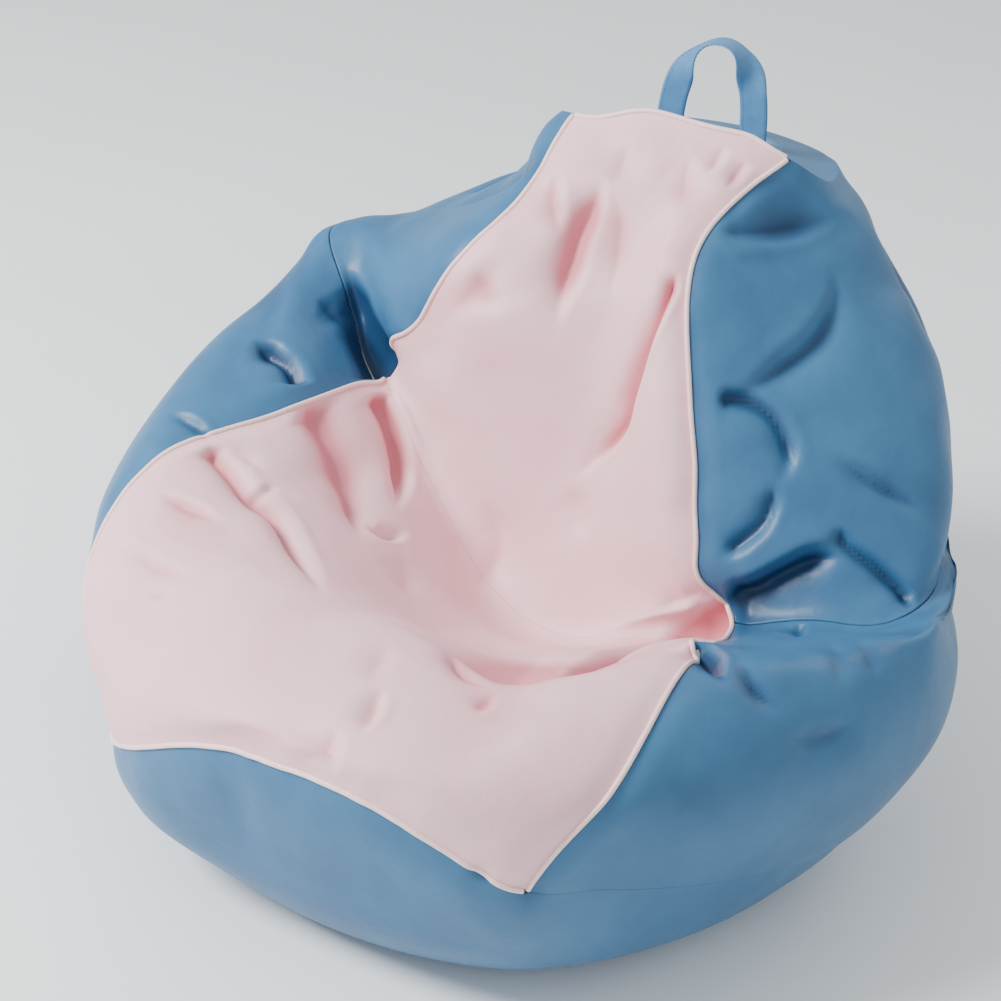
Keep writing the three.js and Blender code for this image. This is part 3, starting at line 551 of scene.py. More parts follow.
def settledSwell():
    rows, columns = settle["rows"], settle["columns"]
    u, v = roundGrid(np.linspace(0, capSeam, rows), columns)
    rest = surface(u, v)
    out = outward(u, v)
    mesh = bpy.data.meshes.new("coverCloth")
    mesh.from_pydata(rest.reshape(-1, 3).tolist(), [], gridFaces(rows, columns, True).tolist())
    cloth = bpy.data.objects.new("coverCloth", mesh)
    scene.collection.objects.link(cloth)
    seamNear = np.minimum.reduce([np.abs(u - s) for s in uprightSeams])
    column = 4.1 / columns
    row = 0.55 * capSeam / (rows - 1)
    loose = fromFront(u) < 0.7
    held = (v < 2.3) | (v > capSeam - row) | (seamNear < column) & (v > baseSeam)
    held |= np.abs(v - baseSeam) < row
    held |= (np.abs(v - waistSeam) < row) & ~loose
    group = cloth.vertex_groups.new(name="sewn")
    group.add(np.flatnonzero(held.reshape(-1)).tolist(), 1.0, "REPLACE")
    modifier = cloth.modifiers.new("settle", "CLOTH")
    options = modifier.settings
    options.quality = settle["quality"]
    options.mass = settle["mass"]
    options.tension_stiffness = options.compression_stiffness = settle["tension"]
    options.shear_stiffness = settle["shear"]
    options.bending_stiffness = settle["bending"]
    options.use_pressure = True
    options.uniform_pressure_force = settle["pressure"]
    options.vertex_group_mass = "sewn"
    options.shrink_min = settle["stretch"]
    options.effector_weights.gravity = 0
    modifier.collision_settings.use_collision = False
    modifier.collision_settings.use_self_collision = False
    for frameAt in range(1, settle["frames"] + 1):
        scene.frame_set(frameAt)
    shape = cloth.evaluated_get(bpy.context.evaluated_depsgraph_get()).to_mesh()
    moved = np.empty(rows * columns * 3, np.float32)
    shape.vertices.foreach_get("co", moved)
    swell = ((moved.reshape(rows, columns, 3) - rest) * out).sum(-1)
    bpy.data.objects.remove(cloth)
    bpy.data.meshes.remove(mesh)
    scene.frame_set(1)
    broad = blurred(swell, settle["broadSteps"])
    swell = settle["share"] * blurred(swell - broad * (1 - settle["keepBroad"]), settle["fineSteps"])
    cap = settle["cap"] * mm
    return np.tanh(swell / cap) * cap


swellField = settledSwell()
print("cover settled", np.round([swellField.min() * 1000, swellField.max() * 1000, swellField.std() * 1000], 2))


def swellRelief(u, v):
    keep = (1 - besideZip(u, v)) * smoothstep(v, 1.6, 2.4) * (1 - smoothstep(v, capSeam - 0.1, capSeam))
    return gridSample(swellField, u, v, capSeam) * keep


# How far the cloth stands out from the smooth pattern, in metres.
def relief(u, v, points, spread=1.0, valleysOnly=False):
    rise = foldRelief(points, spread, valleysOnly)
    rise = rise * (1 - besideZip(u, v)) + seamRelief(u, v, points) + swellRelief(u, v)
    rise = rise * (0.1 + 0.9 * smoothstep(np.abs(v - capSeam), 0.02, 0.32))  # the cap's rim keeps its line
    return np.minimum(rise, 0) if valleysOnly else rise


def newMesh(name, points, faces):
    mesh = bpy.data.meshes.new(name)
    mesh.from_pydata(np.asarray(points).reshape(-1, 3).tolist(), [], faces)
    mesh.shade_smooth()
    piece = bpy.data.objects.new(name, mesh)
    scene.collection.objects.link(piece)
    return piece


def faceOutwards(piece):
    mesh = bmesh.new()
    mesh.from_mesh(piece.data)
    bmesh.ops.recalc_face_normals(mesh, faces=mesh.faces)
    mesh.to_mesh(piece.data)
    mesh.free()


# The place of each point in the flat cloth, which the weave follows.
def setGrain(mesh, places):
    loops = np.empty(len(mesh.loops), np.int32)
    mesh.loops.foreach_get("vertex_index", loops)
    layer = mesh.uv_layers.new(name="grain")
    layer.data.foreach_set("uv", places[loops].astype(np.float32).reshape(-1))


def gridNormals(points, wraps):
    if wraps:
        across = np.roll(points, -1, 1) - np.roll(points, 1, 1)
    else:
        across = np.gradient(points, axis=1)
    return unit(np.cross(across, np.gradient(points, axis=0)))


def arcs(points):
    across, upward = (
        np.insert(np.cumsum(np.linalg.norm(np.diff(points, axis=axis), axis=-1), axis), 0, 0, axis)
        for axis in (1, 0)
    )
    across -= across[:, across.shape[1] // 2][:, None]
    return np.stack([across, upward], -1)


# A closed cloth: the outer grid, the same grid let in by the wall, and a strip round every open edge.
# With no wall it is a solid's skin. A pole row shrinks to one point, and faces in the gap are left out.
def clothShell(name, outer, wall=0, wraps=False, poles=(False, False), fold=None, gap=None):
    rows, columns, _ = outer.shape
    half = rows * columns
    ids = np.arange(half).reshape(rows, columns)
    for end, pole in ((0, poles[0]), (rows - 1, poles[1])):
        if pole:
            ids[end] = ids[end, 0]
    faces = ids.reshape(-1)[gridFaces(rows, columns, wraps)]
    if gap is not None:
        faces = faces[~gap.reshape(-1)]
    layers = [faces]
    points = outer.reshape(-1, 3)
    if wall:
        let = gridNormals(outer, wraps) * wall
        for end, pole, beside in ((0, poles[0], 1), (rows - 1, poles[1], rows - 2)):
            if pole:
                let[end] = let[beside].mean(0)
        starts = faces.reshape(-1)
        ends = np.roll(faces, -1, 1).reshape(-1)
        real = starts != ends
        starts, ends = starts[real], ends[real]
        unpaired = ~np.isin(starts * half + ends, ends * half + starts)
        starts, ends = starts[unpaired], ends[unpaired]
        layers += [faces[:, ::-1] + half, np.stack([ends, starts, starts + half, ends + half], -1)]
        points = np.concatenate([points, (outer - let).reshape(-1, 3)])
    faces = np.concatenate(layers)
    used = np.unique(faces)
    order = np.zeros(len(points), int)
    order[used] = np.arange(len(used))
    faces = [list(dict.fromkeys(face)) for face in order[faces].tolist()]  # a pole's faces have three corners
    piece = newMesh(name, points[used], [face for face in faces if len(face) > 2])
    mesh = piece.data
    setGrain(mesh, np.tile(arcs(outer).reshape(-1, 2), (2, 1))[used])
    if wall:  # the cut rim is sharp, so that its shade doesn't run on to the face of the cloth
        pairs = np.empty(len(mesh.edges) * 2, np.int32)
        mesh.edges.foreach_get("vertices", pairs)
        pairs = np.sort(pairs.reshape(-1, 2), axis=1)
        cut = np.stack([starts, ends], -1)
        rim = np.sort(np.concatenate([order[cut], order[cut + half]]), 1)
        count = len(points)
        sharp = np.isin(pairs[:, 0] * count + pairs[:, 1], rim[:, 0] * count + rim[:, 1])
        mesh.attributes.new("sharp_edge", "BOOLEAN", "EDGE").data.foreach_set("value", sharp)
    depth = np.tile(np.zeros(half) if fold is None else fold.reshape(-1), 2)[used]
    attribute = mesh.attributes.new("fold", "FLOAT", "POINT")
    attribute.data.foreach_set("value", depth.astype(np.float32))
    return piece


edges = {
    "plainInset": 0.3, "plainRoll": 1.5,  # between two sewn edges
    "hiddenInset": 0.06, "hiddenRoll": 0.08,  # where the stuffing pulls a seam flat
    "pipedInset": 2.4, "pipedRoll": 2.0,  # beside the piping
    "pinkInset": 1.8, "pinkRoll": 1.0,
    "zipInset": 7.0, "zipRoll": 0.08,
    "steps": [0, 0.45, 1.0, 1.7, 2.6, 3.8, 5.4, 7.6, 10.5],  # mm from the edge, finer where the cloth rolls in
}


def zipOpening(u):
    return 1 - smoothstep(fromBack(u), 0.88, 0.98)


def capInset(u):
    return edges["hiddenInset"] + (edges["pipedInset"] - edges["hiddenInset"]) * pinkShare(u, 0.01)


def baseInset(u):
    return capInset(u) + (edges["zipInset"] - edges["hiddenInset"]) * zipOpening(u)


def sideBaseInset(u):
    return edges["hiddenInset"] + (edges["zipInset"] - edges["hiddenInset"]) * zipOpening(u)


# Grid lines from one edge to the other: rolled-in ends and an even middle, in mm from each edge.
def edgeShares(length, spacing, startEdge=True, endEdge=True):
    marks = np.array(edges["steps"])
    start = marks if startEdge else marks[:1]
    end = length - (marks if endEdge else marks[:1])[::-1]
    count = max(int(round((end[0] - start[-1]) / spacing)), 2)
    middle = np.linspace(start[-1], end[0], count + 1)[1:-1]
    return np.concatenate([start, middle, end]), len(start), len(end)


# How many mm go to one unit of u or v at a panel's edge, with a step that leads away from it.
def perUnit(u, v, stepU, stepV):
    way = (surface(u + stepU, v + stepV) - surface(u, v)) / abs(stepU + stepV)
    alongU, alongV = slopes(u, np.clip(v + 2 * stepV, floorCentre, capTop))
    return np.linalg.norm(way, axis=-1) * 1000 * np.maximum(squareness(alongU, alongV), 0.35)


# Grid lines between two edges. The first and last few keep their distance from the edge, in mm.
def spreadLines(marks, first, last, ends, insets, scales):
    places = np.empty((len(marks), len(scales[0])))
    places[:first] = ends[0] + (insets[0] + marks[:first, None]) / scales[0]
    places[-last:] = ends[1] - (insets[1] + marks[-1] - marks[-last:, None]) / scales[1]
    shares = (marks[first:-last] - marks[first - 1]) / (marks[-last] - marks[first - 1])
    places[first:-last] = places[first - 1] + shares[:, None] * (places[-last] - places[first - 1])
    return places


# One sewn panel. insets are in mm at the left, right, bottom and top, the last two by their place along the edge.
def panel(name, us, vs, insets, rolls, spacing):
    (u0, u1), (v0, v1) = us, vs
    left, right, bottom, top = insets
    grid = surface(np.linspace(u0, u1, 33)[None, :], np.linspace(v0, v1, 33)[:, None])
    wide, high = meanLength(grid, 1) * 1000, meanLength(grid, 0) * 1000
    columnAt, *columnEnds = edgeShares(wide, spacing)
    rowAt, *rowEnds = edgeShares(high, spacing)
    alongRow = u0 + (u1 - u0) * columnAt / wide
    alongColumn = v0 + (v1 - v0) * rowAt / high
    inU, inV = np.clip(alongRow, u0 + 0.02, u1 - 0.02), np.clip(alongColumn, v0 + 0.02, v1 - 0.02)
    sides = [perUnit(np.full_like(inV, end), inV, step, 0) for end, step in ((u0, 0.01), (u1, -0.01))]
    ends = [perUnit(inU, np.full_like(inU, end), 0, step) for end, step in ((v0, 0.01), (v1, -0.01))]
    u = spreadLines(columnAt, *columnEnds, us, (left, right), sides).T.copy()
    v = spreadLines(rowAt, *rowEnds, vs, (bottom(alongRow), top(alongRow)), ends)
    fromEdges = (columnAt[None, :], (wide - columnAt)[None, :], rowAt[:, None], (high - rowAt)[:, None])
    return finishedPanel(name, u, v, [np.broadcast_to(d, u.shape) for d in fromEdges], rolls, False, (False, False))


def rolled(distance, radius):
    part = np.clip(radius - distance, 0, radius)
    return radius - np.sqrt(np.maximum(radius ** 2 - part ** 2, 0))


def finishedPanel(name, u, v, distances, rolls, wraps, poles):
    points = surface(u, v)
    rise = relief(u, v, points)
    drop = np.zeros(u.shape)
    for distance, radius in zip(distances, rolls):
        drop = np.maximum(drop, rolled(distance, radius * np.ones(u.shape)))
    out = outward(u, v)
    outer = points + out * (rise * aboveFloor(v) - drop * mm)[..., None]
    return clothShell(name, outer, cover["wall"] * mm, wraps, poles, rise * 1000)


# A panel that runs all round, from a pole to its sewn edge.
def roundPanel(name, poleV, edgeV, inset, roll, spacing, columns):
    nominalU = roundGrid(np.zeros(1), columns)[0][0]
    side = 1 if edgeV > poleV else -1
    probe = surface(nominalU[None, ::8], np.linspace(poleV, edgeV, 41)[:, None])
    high = meanLength(probe, 0) * 1000
    rowAt, _, endRows = edgeShares(high, spacing, startEdge=False)
    near, far = surface(nominalU, edgeV - side * 0.011), surface(nominalU, edgeV - side * 0.001)
    perV = np.linalg.norm(far - near, axis=-1) / 0.01 * 1000
    v = np.empty((len(rowAt), columns))
    for k, mark in enumerate(rowAt[-endRows:]):
        v[len(rowAt) - endRows + k] = edgeV - side * (inset(nominalU) + high - mark) / perV
    last = len(rowAt) - endRows
    shares = rowAt[:last] / rowAt[last]
    v[:last] = poleV + shares[:, None] * (v[last] - poleV)
    u = np.broadcast_to(nominalU, v.shape)
    distances = [np.broadcast_to((high - rowAt)[:, None], v.shape)]
    if side < 0:  # rows run up the chair, so that faces point outwards
        u, v, distances = u[::-1], v[::-1], [distances[0][::-1]]
    return finishedPanel(name, u, v, distances, [roll(nominalU)[None, :]], True, (side > 0, side < 0))


def edgeRoll(inset):
    return lambda u: np.where(inset(u) > 1, edges["pipedRoll"], edges["hiddenRoll"])


def flatInset(value):
    return lambda u: np.full(np.shape(u), float(value))


# A woven pattern read from the cloth's own lengths, with the thread spacing in mm.
def weaveHeight(tree, spacing, turn=0.0):
    grain = addNode(tree, "ShaderNodeUVMap", uv_map="grain")
    placed = addNode(tree, "ShaderNodeMapping", {"Vector": grain.outputs["UV"], "Rotation": (0, 0, turn)})
    threads = []
    for axis in ("X", "Y"):
        wave = addNode(tree, "ShaderNodeTexWave", {
            "Vector": placed.outputs["Vector"], "Scale": 0.314 / (spacing * mm), "Distortion": 0.0,
        }, wave_type="BANDS", bands_direction=axis, wave_profile="SIN")
        threads.append(wave.outputs["Fac"])
    return addNode(tree, "ShaderNodeMath", {0: threads[0], 1: threads[1]}, operation="MULTIPLY").outputs[0]


def noiseAt(tree, size, detail=2.0, rough=0.5, seed=0.0):
    place = addNode(tree, "ShaderNodeTexCoord")
    moved = addNode(tree, "ShaderNodeMapping", {
        "Vector": place.outputs["Object"], "Location": (seed, seed * 0.7, seed * 1.3),
    })
    return addNode(tree, "ShaderNodeTexNoise", {
        "Vector": moved.outputs["Vector"], "Scale": 1 / (size * mm), "Detail": detail, "Roughness": rough,
    }).outputs["Fac"]


# A colour that runs from the darker to the lighter one between two values of the share.
def twoTone(tree, share, darker, lighter, low=0.3, high=0.7):
    node = addNode(tree, "ShaderNodeValToRGB", {"Fac": share})
    for element, at, colour in zip(node.color_ramp.elements, (low, high), (darker, lighter)):
        element.position = at
        element.color = linear(colour)
    return node.outputs["Color"]


# A value that runs from low to high as the share goes from 0 to 1.
def between(tree, share, low, high):
    return addNode(tree, "ShaderNodeMapRange", {"Value": share, "To Min": low, "To Max": high}).outputs["Result"]


def newMaterial(name):
    material = bpy.data.materials.new(name)
    material.use_nodes = True
    tree = material.node_tree
    return material, tree, tree.nodes["Principled BSDF"]


def bump(tree, shader, layers):
    normal = None
    for height, strength, distance in layers:
        node = addNode(tree, "ShaderNodeBump", {"Height": height, "Strength": strength, "Distance": distance * mm})
        if normal:
            tree.links.new(normal, node.inputs["Normal"])
        normal = node.outputs["Normal"]
    tree.links.new(normal, shader.inputs["Normal"])


# Calendered coated polyester: a close weave pressed smooth, so it is soft and satiny with broad highlights.
def coatedCloth(name, values):
    material, tree, shader = newMaterial(name)
    base = twoTone(tree, noiseAt(tree, 90, 3.0, 0.55, 1.0), values["darker"], values["lighter"])
    # Painted shade: the deeper a valley fold, the more the cloth's colour is mixed towards a darker fold colour that
    # stands in for the shade in it.
    depth = addNode(tree, "ShaderNodeAttribute", attribute_name="fold").outputs["Fac"]
    paintedFoldShade = addNode(tree, "ShaderNodeMapRange", {
        "Value": depth, "From Min": -2.0, "From Max": -12.0, "To Min": 0.0, "To Max": values["foldShadeShare"],
    }).outputs["Result"]
    mixed = addNode(tree, "ShaderNodeMix", {"Factor": paintedFoldShade, 6: base, 7: linear(values["paintedFoldShade"])}, data_type="RGBA")
    feed(tree, shader, {
        "Base Color": mixed.outputs[2],
        "Roughness": between(tree, noiseAt(tree, 25, 3.0, 0.6, 4.0), values["rough"] - 0.04, values["rough"] + 0.05),
        "Specular IOR Level": values["gloss"], "Sheen Weight": values["sheen"], "Sheen Roughness": 0.4,
        "Sheen Tint": linear(values["lighter"]),
    })
    bump(tree, shader, [
        (noiseAt(tree, 42, 3.0, 0.55, 8.0), 0.5, values["crinkle"]),  # soft crumples from handling
        (noiseAt(tree, 9, 2.0, 0.5, 12.0), 0.35, values["crinkle"] * 0.16),
        (weaveHeight(tree, values["thread"], 0.0), 0.25, 0.12),
    ])
    return material


# Each cloth's fold colour is painted shade for its deep folds, and the share is how far it is mixed in.
pinkCloth = coatedCloth("coatedPolyesterBlush", {
    "lighter": "#F4C9CE", "darker": "#EFBDC4", "paintedFoldShade": "#D97F8A", "foldShadeShare": 0.85,
    "rough": 0.5, "gloss": 0.3, "sheen": 0.03, "crinkle": 2.6, "thread": 1.3,
})
blueCloth = coatedCloth("coatedPolyesterBlue", {
    "lighter": "#3E7096", "darker": "#356389", "paintedFoldShade": "#16365A", "foldShadeShare": 0.9,
    "rough": 0.4, "gloss": 0.3, "sheen": 0.03, "crinkle": 2.6, "thread": 1.3,
})


# Plain-woven cotton and polyester goods: matt, with the threads standing up enough to see.
def wovenCloth(name, values):
    material, tree, shader = newMaterial(name)
    mottle = noiseAt(tree, 12, 3.0, 0.6, 2.0)
    colour = twoTone(tree, mottle, values["darker"], values["lighter"])
    height = weaveHeight(tree, values["thread"], values.get("turn", 0.0))
    # Painted shade and light: the weave is darker where its threads lie low and lighter where they stand up.
    toned = addNode(tree, "ShaderNodeHueSaturation", {"Color": colour, "Value": between(tree, height, 0.86, 1.05)})
    feed(tree, shader, {
        "Base Color": toned.outputs["Color"],
        "Roughness": between(tree, mottle, values["rough"] - 0.05, values["rough"] + 0.05),
        "Sheen Weight": values["sheen"],
    })
    bump(tree, shader, [(height, 0.6, values["raise"])])
    return material


# Nylon webbing: a tight ribbed weave, a little shiny along each rib.
webbingCloth = wovenCloth("nylonWebbingBlue", {
    "lighter": "#4E8ABA", "darker": "#427CAC", "thread": 1.6, "turn": math.pi / 4, "rough": 0.6, "sheen": 0.1,
    "raise": 0.35,
})
linerWeave = wovenCloth("calicoLiner", {
    "lighter": "#EEECE7", "darker": "#E2DFD8", "thread": 1.2, "rough": 0.88, "sheen": 0.1, "raise": 0.2,
})
labelWeave = wovenCloth("satinLabel", {
    "lighter": "#F5F3EE", "darker": "#EBE8E1", "thread": 0.8, "rough": 0.6, "sheen": 0.2, "raise": 0.1,
})
zipWeave = wovenCloth("zipTapeTwill", {
    "lighter": "#456F93", "darker": "#3A6387", "thread": 1.0, "turn": 0.6, "rough": 0.8, "sheen": 0.1, "raise": 0.25,
})


# Bias-cut cloth drawn round a cord: paler and silkier than the panels, with slanting threads.
def pipingFinish():
    material, tree, shader = newMaterial("biasPipingBlush")
    fine = noiseAt(tree, 5, 2.0, 0.5, 3.0)
    feed(tree, shader, {
        "Base Color": twoTone(tree, fine, "#F4D0CE", "#FADEDB"), "Roughness": between(tree, fine, 0.42, 0.54),
        "Sheen Weight": 0.15,
    })
    place = addNode(tree, "ShaderNodeTexCoord")
    threads = addNode(tree, "ShaderNodeTexWave", {
        "Vector": place.outputs["Object"], "Scale": 0.314 / (1.2 * mm), "Distortion": 0.6,
    }, wave_type="BANDS", bands_direction="DIAGONAL")
    bump(tree, shader, [(threads.outputs["Fac"], 0.3, 0.15), (fine, 0.4, 0.4)])
    return material


# Nickel-plated zinc: bright and slightly clouded, with fine rubbing marks.
def platedFinish():
    material, tree, shader = newMaterial("nickelPlatedZinc")
    cloud = noiseAt(tree, 3, 3.0, 0.6, 5.0)
    feed(tree, shader, {
        "Base Color": twoTone(tree, cloud, "#A9ACB0", "#C2C4C7"), "Metallic": 1.0,
        "Roughness": between(tree, cloud, 0.22, 0.38),
    })
    bump(tree, shader, [(noiseAt(tree, 0.6, 2.0, 0.5, 9.0), 0.15, 0.05)])
    return material


# Expanded polystyrene beads: chalk white balls, each about 4 mm, packed together.
def beadFinish():
    material, tree, shader = newMaterial("expandedPolystyreneBeads")
    place = addNode(tree, "ShaderNodeTexCoord")
    cells = addNode(tree, "ShaderNodeTexVoronoi", {"Vector": place.outputs["Object"], "Scale": 1 / (4 * mm)})
    distance = cells.outputs["Distance"]
    # Painted shade: each bead is lighter in its middle and darker towards its rim, where the beads meet.
    feed(tree, shader, {"Base Color": twoTone(tree, distance, "#FBFAF7", "#D9D6CE", 0.25, 0.75), "Roughness": 0.85})
    roundness = addNode(tree, "ShaderNodeMath", {0: 1.0, 1: distance}, operation="SUBTRACT")
    bump(tree, shader, [(roundness.outputs[0], 0.9, 1.6)])
    return material


# Spun polyester thread: a fine twisted yarn with a soft shine.
def threadFinish(name, lighter, darker):
    material, tree, shader = newMaterial(name)
    twist = noiseAt(tree, 0.9, 1.0, 0.5, 6.0)
    feed(tree, shader, {
        "Base Color": twoTone(tree, twist, darker, lighter), "Roughness": 0.55, "Sheen Weight": 0.1,
    })
    bump(tree, shader, [(twist, 0.4, 0.1)])
    return material


pipingCloth = pipingFinish()
zipMetal = platedFinish()
beadFoam = beadFinish()
blueThread = threadFinish("polyesterThreadBlue", "#5F95BF", "#3C6E99")
paleThread = threadFinish("polyesterThreadPale", "#F4F2ED", "#D9D5CC")
print("finishes made")


# slotName is the row's name for the finish the piece takes. A piece given no body is attached to none here.
def dress(piece, material, body="bag", nodes=()):
    piece.data.materials.clear()
    piece.data.materials.append(material)
    if body:
        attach(piece, body)
    if nodes:
        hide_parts(*nodes)
    return piece


# The ten panels of the cover: how far apart their grid lines are, in mm.
panels = {
    "pinkSpacing": 3.2, "sideSpacing": 3.8, "rearSpacing": 5.5, "baseColumns": 520, "baseSpacing": 5.5,
    "capColumns": 240, "capSpacing": 5.0,
}


# Each row: the stations and rings it spans, its cloth's place, and its edges at the start, end, foot and top.
def coverPanels():
    lower, upper = (baseSeam, waistSeam), (waistSeam, capSeam)
    rows = [
        ("seat", "seat_panel", (7, 9), lower, "pink", "pink pink pink hidden"),
        ("backrest", "backrest_panel", (7, 9), upper, "pink", "pink pink hidden pink"),
        ("rightSideLower", "right_side_lower_panel", (1, 3), lower, "side", "piped plain zip plain"),
        ("rightSideUpper", "right_side_upper_panel", (1, 3), upper, "side", "piped plain plain hidden"),
        ("rearLower", "rear_lower_panel", (3, 5), lower, "rear", "plain plain zip plain"),
        ("rearUpper", "rear_upper_panel", (3, 5), upper, "rear", "plain plain plain hidden"),
        ("leftSideLower", "left_side_lower_panel", (5, 7), lower, "side", "plain piped zip plain"),
        ("leftSideUpper", "left_side_upper_panel", (5, 7), upper, "side", "plain piped plain hidden"),
    ]
    made = {}
    for name, node, us, vs, place, kinds in rows:
        start, end, foot, top = kinds.split()
        atFoot = sideBaseInset if foot == "zip" else flatInset(edges[foot + "Inset"])
        insets = (edges[start + "Inset"], edges[end + "Inset"], atFoot, flatInset(edges[top + "Inset"]))
        rolls = [edges[kind + "Roll"] for kind in (start, end, foot, top)]
        piece = panel(name, us, vs, insets, rolls, panels[place + "Spacing"])
        cloth, slotName = (pinkCloth, "pink_cloth") if place == "pink" else (blueCloth, "blue_cloth")
        dress(piece, cloth, nodes=[node])
        made[name] = piece
        print("panel", name, len(piece.data.polygons))
    base = roundPanel("base", floorCentre, baseSeam, baseInset, edgeRoll(baseInset), panels["baseSpacing"],
                      panels["baseColumns"])
    cap = roundPanel("topCap", capTop, capSeam, capInset, edgeRoll(capInset), panels["capSpacing"],
                     panels["capColumns"])
    for piece, node in ((base, "base_panel"), (cap, "top_cap")):
        dress(piece, blueCloth, nodes=[node])
    made["base"], made["topCap"] = base, cap
    return made


cloths = coverPanels()
print("cover panels made")


# A tree that follows a line at even steps and builds the given shape on it.
def lineTree(name, step, inputs, shape):
    tree = bpy.data.node_groups.new(name, "GeometryNodeTree")
    tree.interface.new_socket("Geometry", in_out="OUTPUT", socket_type="NodeSocketGeometry")
    for key, kind, value in [("Line", "Geometry", None), *inputs, ("Finish", "Material", None)]:
        socket = tree.interface.new_socket(key, in_out="INPUT", socket_type="NodeSocket" + kind)
        if value is not None:
            socket.default_value = value
    given = addNode(tree, "NodeGroupInput").outputs
    curve = addNode(tree, "GeometryNodeMeshToCurve", {"Mesh": given["Line"]})
    even = addNode(tree, "GeometryNodeResampleCurve", {
        "Curve": curve.outputs["Curve"], "Length": given[step],
    }, mode="LENGTH")
    real = addNode(tree, "GeometryNodeRealizeInstances", {"Geometry": shape(tree, given, even.outputs["Curve"])})
    finish = addNode(tree, "GeometryNodeSetMaterial", {
        "Geometry": real.outputs["Geometry"], "Material": given["Finish"],
    })
    addNode(tree, "NodeGroupOutput", {"Geometry": finish.outputs["Geometry"]})
    return tree


def tube(tree, given, curve):
    ring = addNode(tree, "GeometryNodeCurvePrimitiveCircle", {
        "Resolution": given["Sides"], "Radius": given["Radius"],
    })
    return addNode(tree, "GeometryNodeCurveToMesh", {
        "Curve": curve, "Profile Curve": ring.outputs["Curve"], "Fill Caps": True,
    }).outputs["Mesh"]


# Small parts along the line, each standing on the cloth and a little larger or smaller than the next.
def strewnParts(tree, given, curve):
    facing = addNode(tree, "GeometryNodeInputNamedAttribute", {"Name": "out"}, data_type="FLOAT_VECTOR")
    stood = addNode(tree, "FunctionNodeAlignRotationToVector", {"Vector": facing.outputs["Attribute"]}, axis="Z")
    along = addNode(tree, "GeometryNodeInputTangent")
    laid = addNode(tree, "FunctionNodeAlignRotationToVector", {
        "Rotation": stood.outputs["Rotation"], "Vector": along.outputs["Tangent"],
    }, axis="X", pivot_axis="Z")
    part = addNode(tree, "GeometryNodeObjectInfo", {"Object": given["Part"]})
    low = addNode(tree, "ShaderNodeMath", {0: 1.0, 1: given["Wobble"]}, operation="SUBTRACT")
    high = addNode(tree, "ShaderNodeMath", {0: 1.0, 1: given["Wobble"]}, operation="ADD")
    size = addNode(tree, "FunctionNodeRandomValue", {
        "Seed": given["Seed"], 2: low.outputs[0], 3: high.outputs[0],
    }, data_type="FLOAT")
    return addNode(tree, "GeometryNodeInstanceOnPoints", {
        "Points": curve, "Instance": part.outputs["Geometry"],
        "Rotation": laid.outputs["Rotation"], "Scale": size.outputs[1],
    }).outputs["Instances"]


layTube = lineTree("tubeAlongLine", "Step", [
    ("Radius", "Float", 0.0025), ("Sides", "Int", 12), ("Step", "Float", 0.004),
], tube)
strewParts = lineTree("partsAlongLine", "Pitch", [
    ("Pitch", "Float", 0.004), ("Wobble", "Float", 0.0), ("Seed", "Int", 5), ("Part", "Object", None),
], strewnParts)


# lines is a list of (points, outward directions). The result is one plain mesh.
def alongLines(name, lines, tree, values):
    points = np.concatenate([line for line, _ in lines])
    outs = np.concatenate([out for _, out in lines])
    links, start = [], 0
    for line, _ in lines:
        links += [(start + k, start + k + 1) for k in range(len(line) - 1)]
        start += len(line)
    mesh = bpy.data.meshes.new(name + "Line")
    mesh.from_pydata(points.tolist(), links, [])
    attribute = mesh.attributes.new("out", "FLOAT_VECTOR", "POINT")
    attribute.data.foreach_set("vector", outs.astype(np.float32).reshape(-1))
    holder = bpy.data.objects.new(name + "Line", mesh)
    scene.collection.objects.link(holder)
    modifier = holder.modifiers.new("lay", "NODES")
    modifier.node_group = tree
    known = {item.name: item.identifier for item in tree.interface.items_tree if item.in_out == "INPUT"}
    for key, value in values.items():
        modifier[known[key]] = value
    evaluated = holder.evaluated_get(bpy.context.evaluated_depsgraph_get())
    result = bpy.data.meshes.new_from_object(evaluated)
    result.name = name
    result.shade_smooth()
    bpy.data.objects.remove(holder)
    bpy.data.meshes.remove(mesh)
    piece = bpy.data.objects.new(name, result)
    scene.collection.objects.link(piece)
    return piece


# A line on the cover at a height above its cloth, in mm.
def coverLine(u, v, height):
    u, v = np.broadcast_arrays(np.asarray(u, float), np.asarray(v, float))
    points = surface(u, v)
    out = outward(u, v)
    rise = relief(u[None], v[None], points[None])[0] * aboveFloor(v)
    return points + out * (rise + height * mm)[:, None], out


# Piping round the pink panels.
piping = {"radius": 2.55, "height": 0.3, "trim": 2.4, "sides": 14, "step": 3.0}


def trimmed(line, out, trim):
    lengths = lengthsAlong(line)
    keep = (lengths > trim * mm) & (lengths < lengths[-1] - trim * mm)
    return line[keep], out[keep]


def pipingCords():
    upright = np.linspace(baseSeam, capSeam, 420)
    level = np.linspace(7, 9, 260)
    runs = {
        "rightPiping": ("right_piping", coverLine(1.0, upright, piping["height"]), 0),
        "leftPiping": ("left_piping", coverLine(7.0, upright, piping["height"]), 0),
        "frontPiping": ("front_piping", coverLine(level, baseSeam, piping["height"]), piping["trim"]),
        "topPiping": ("top_piping", coverLine(level, capSeam - 0.001, piping["height"]), piping["trim"]),
    }
    for name, (node, (line, out), trim) in runs.items():
        line, out = trimmed(line, out, trim)
        piece = alongLines(name, [(line, out)], layTube, {
            "Radius": piping["radius"] * mm, "Sides": piping["sides"], "Step": piping["step"] * mm,
            "Finish": pipingCloth,
        })
        dress(piece, pipingCloth, nodes=[node])


pipingCords()
print("piping laid")


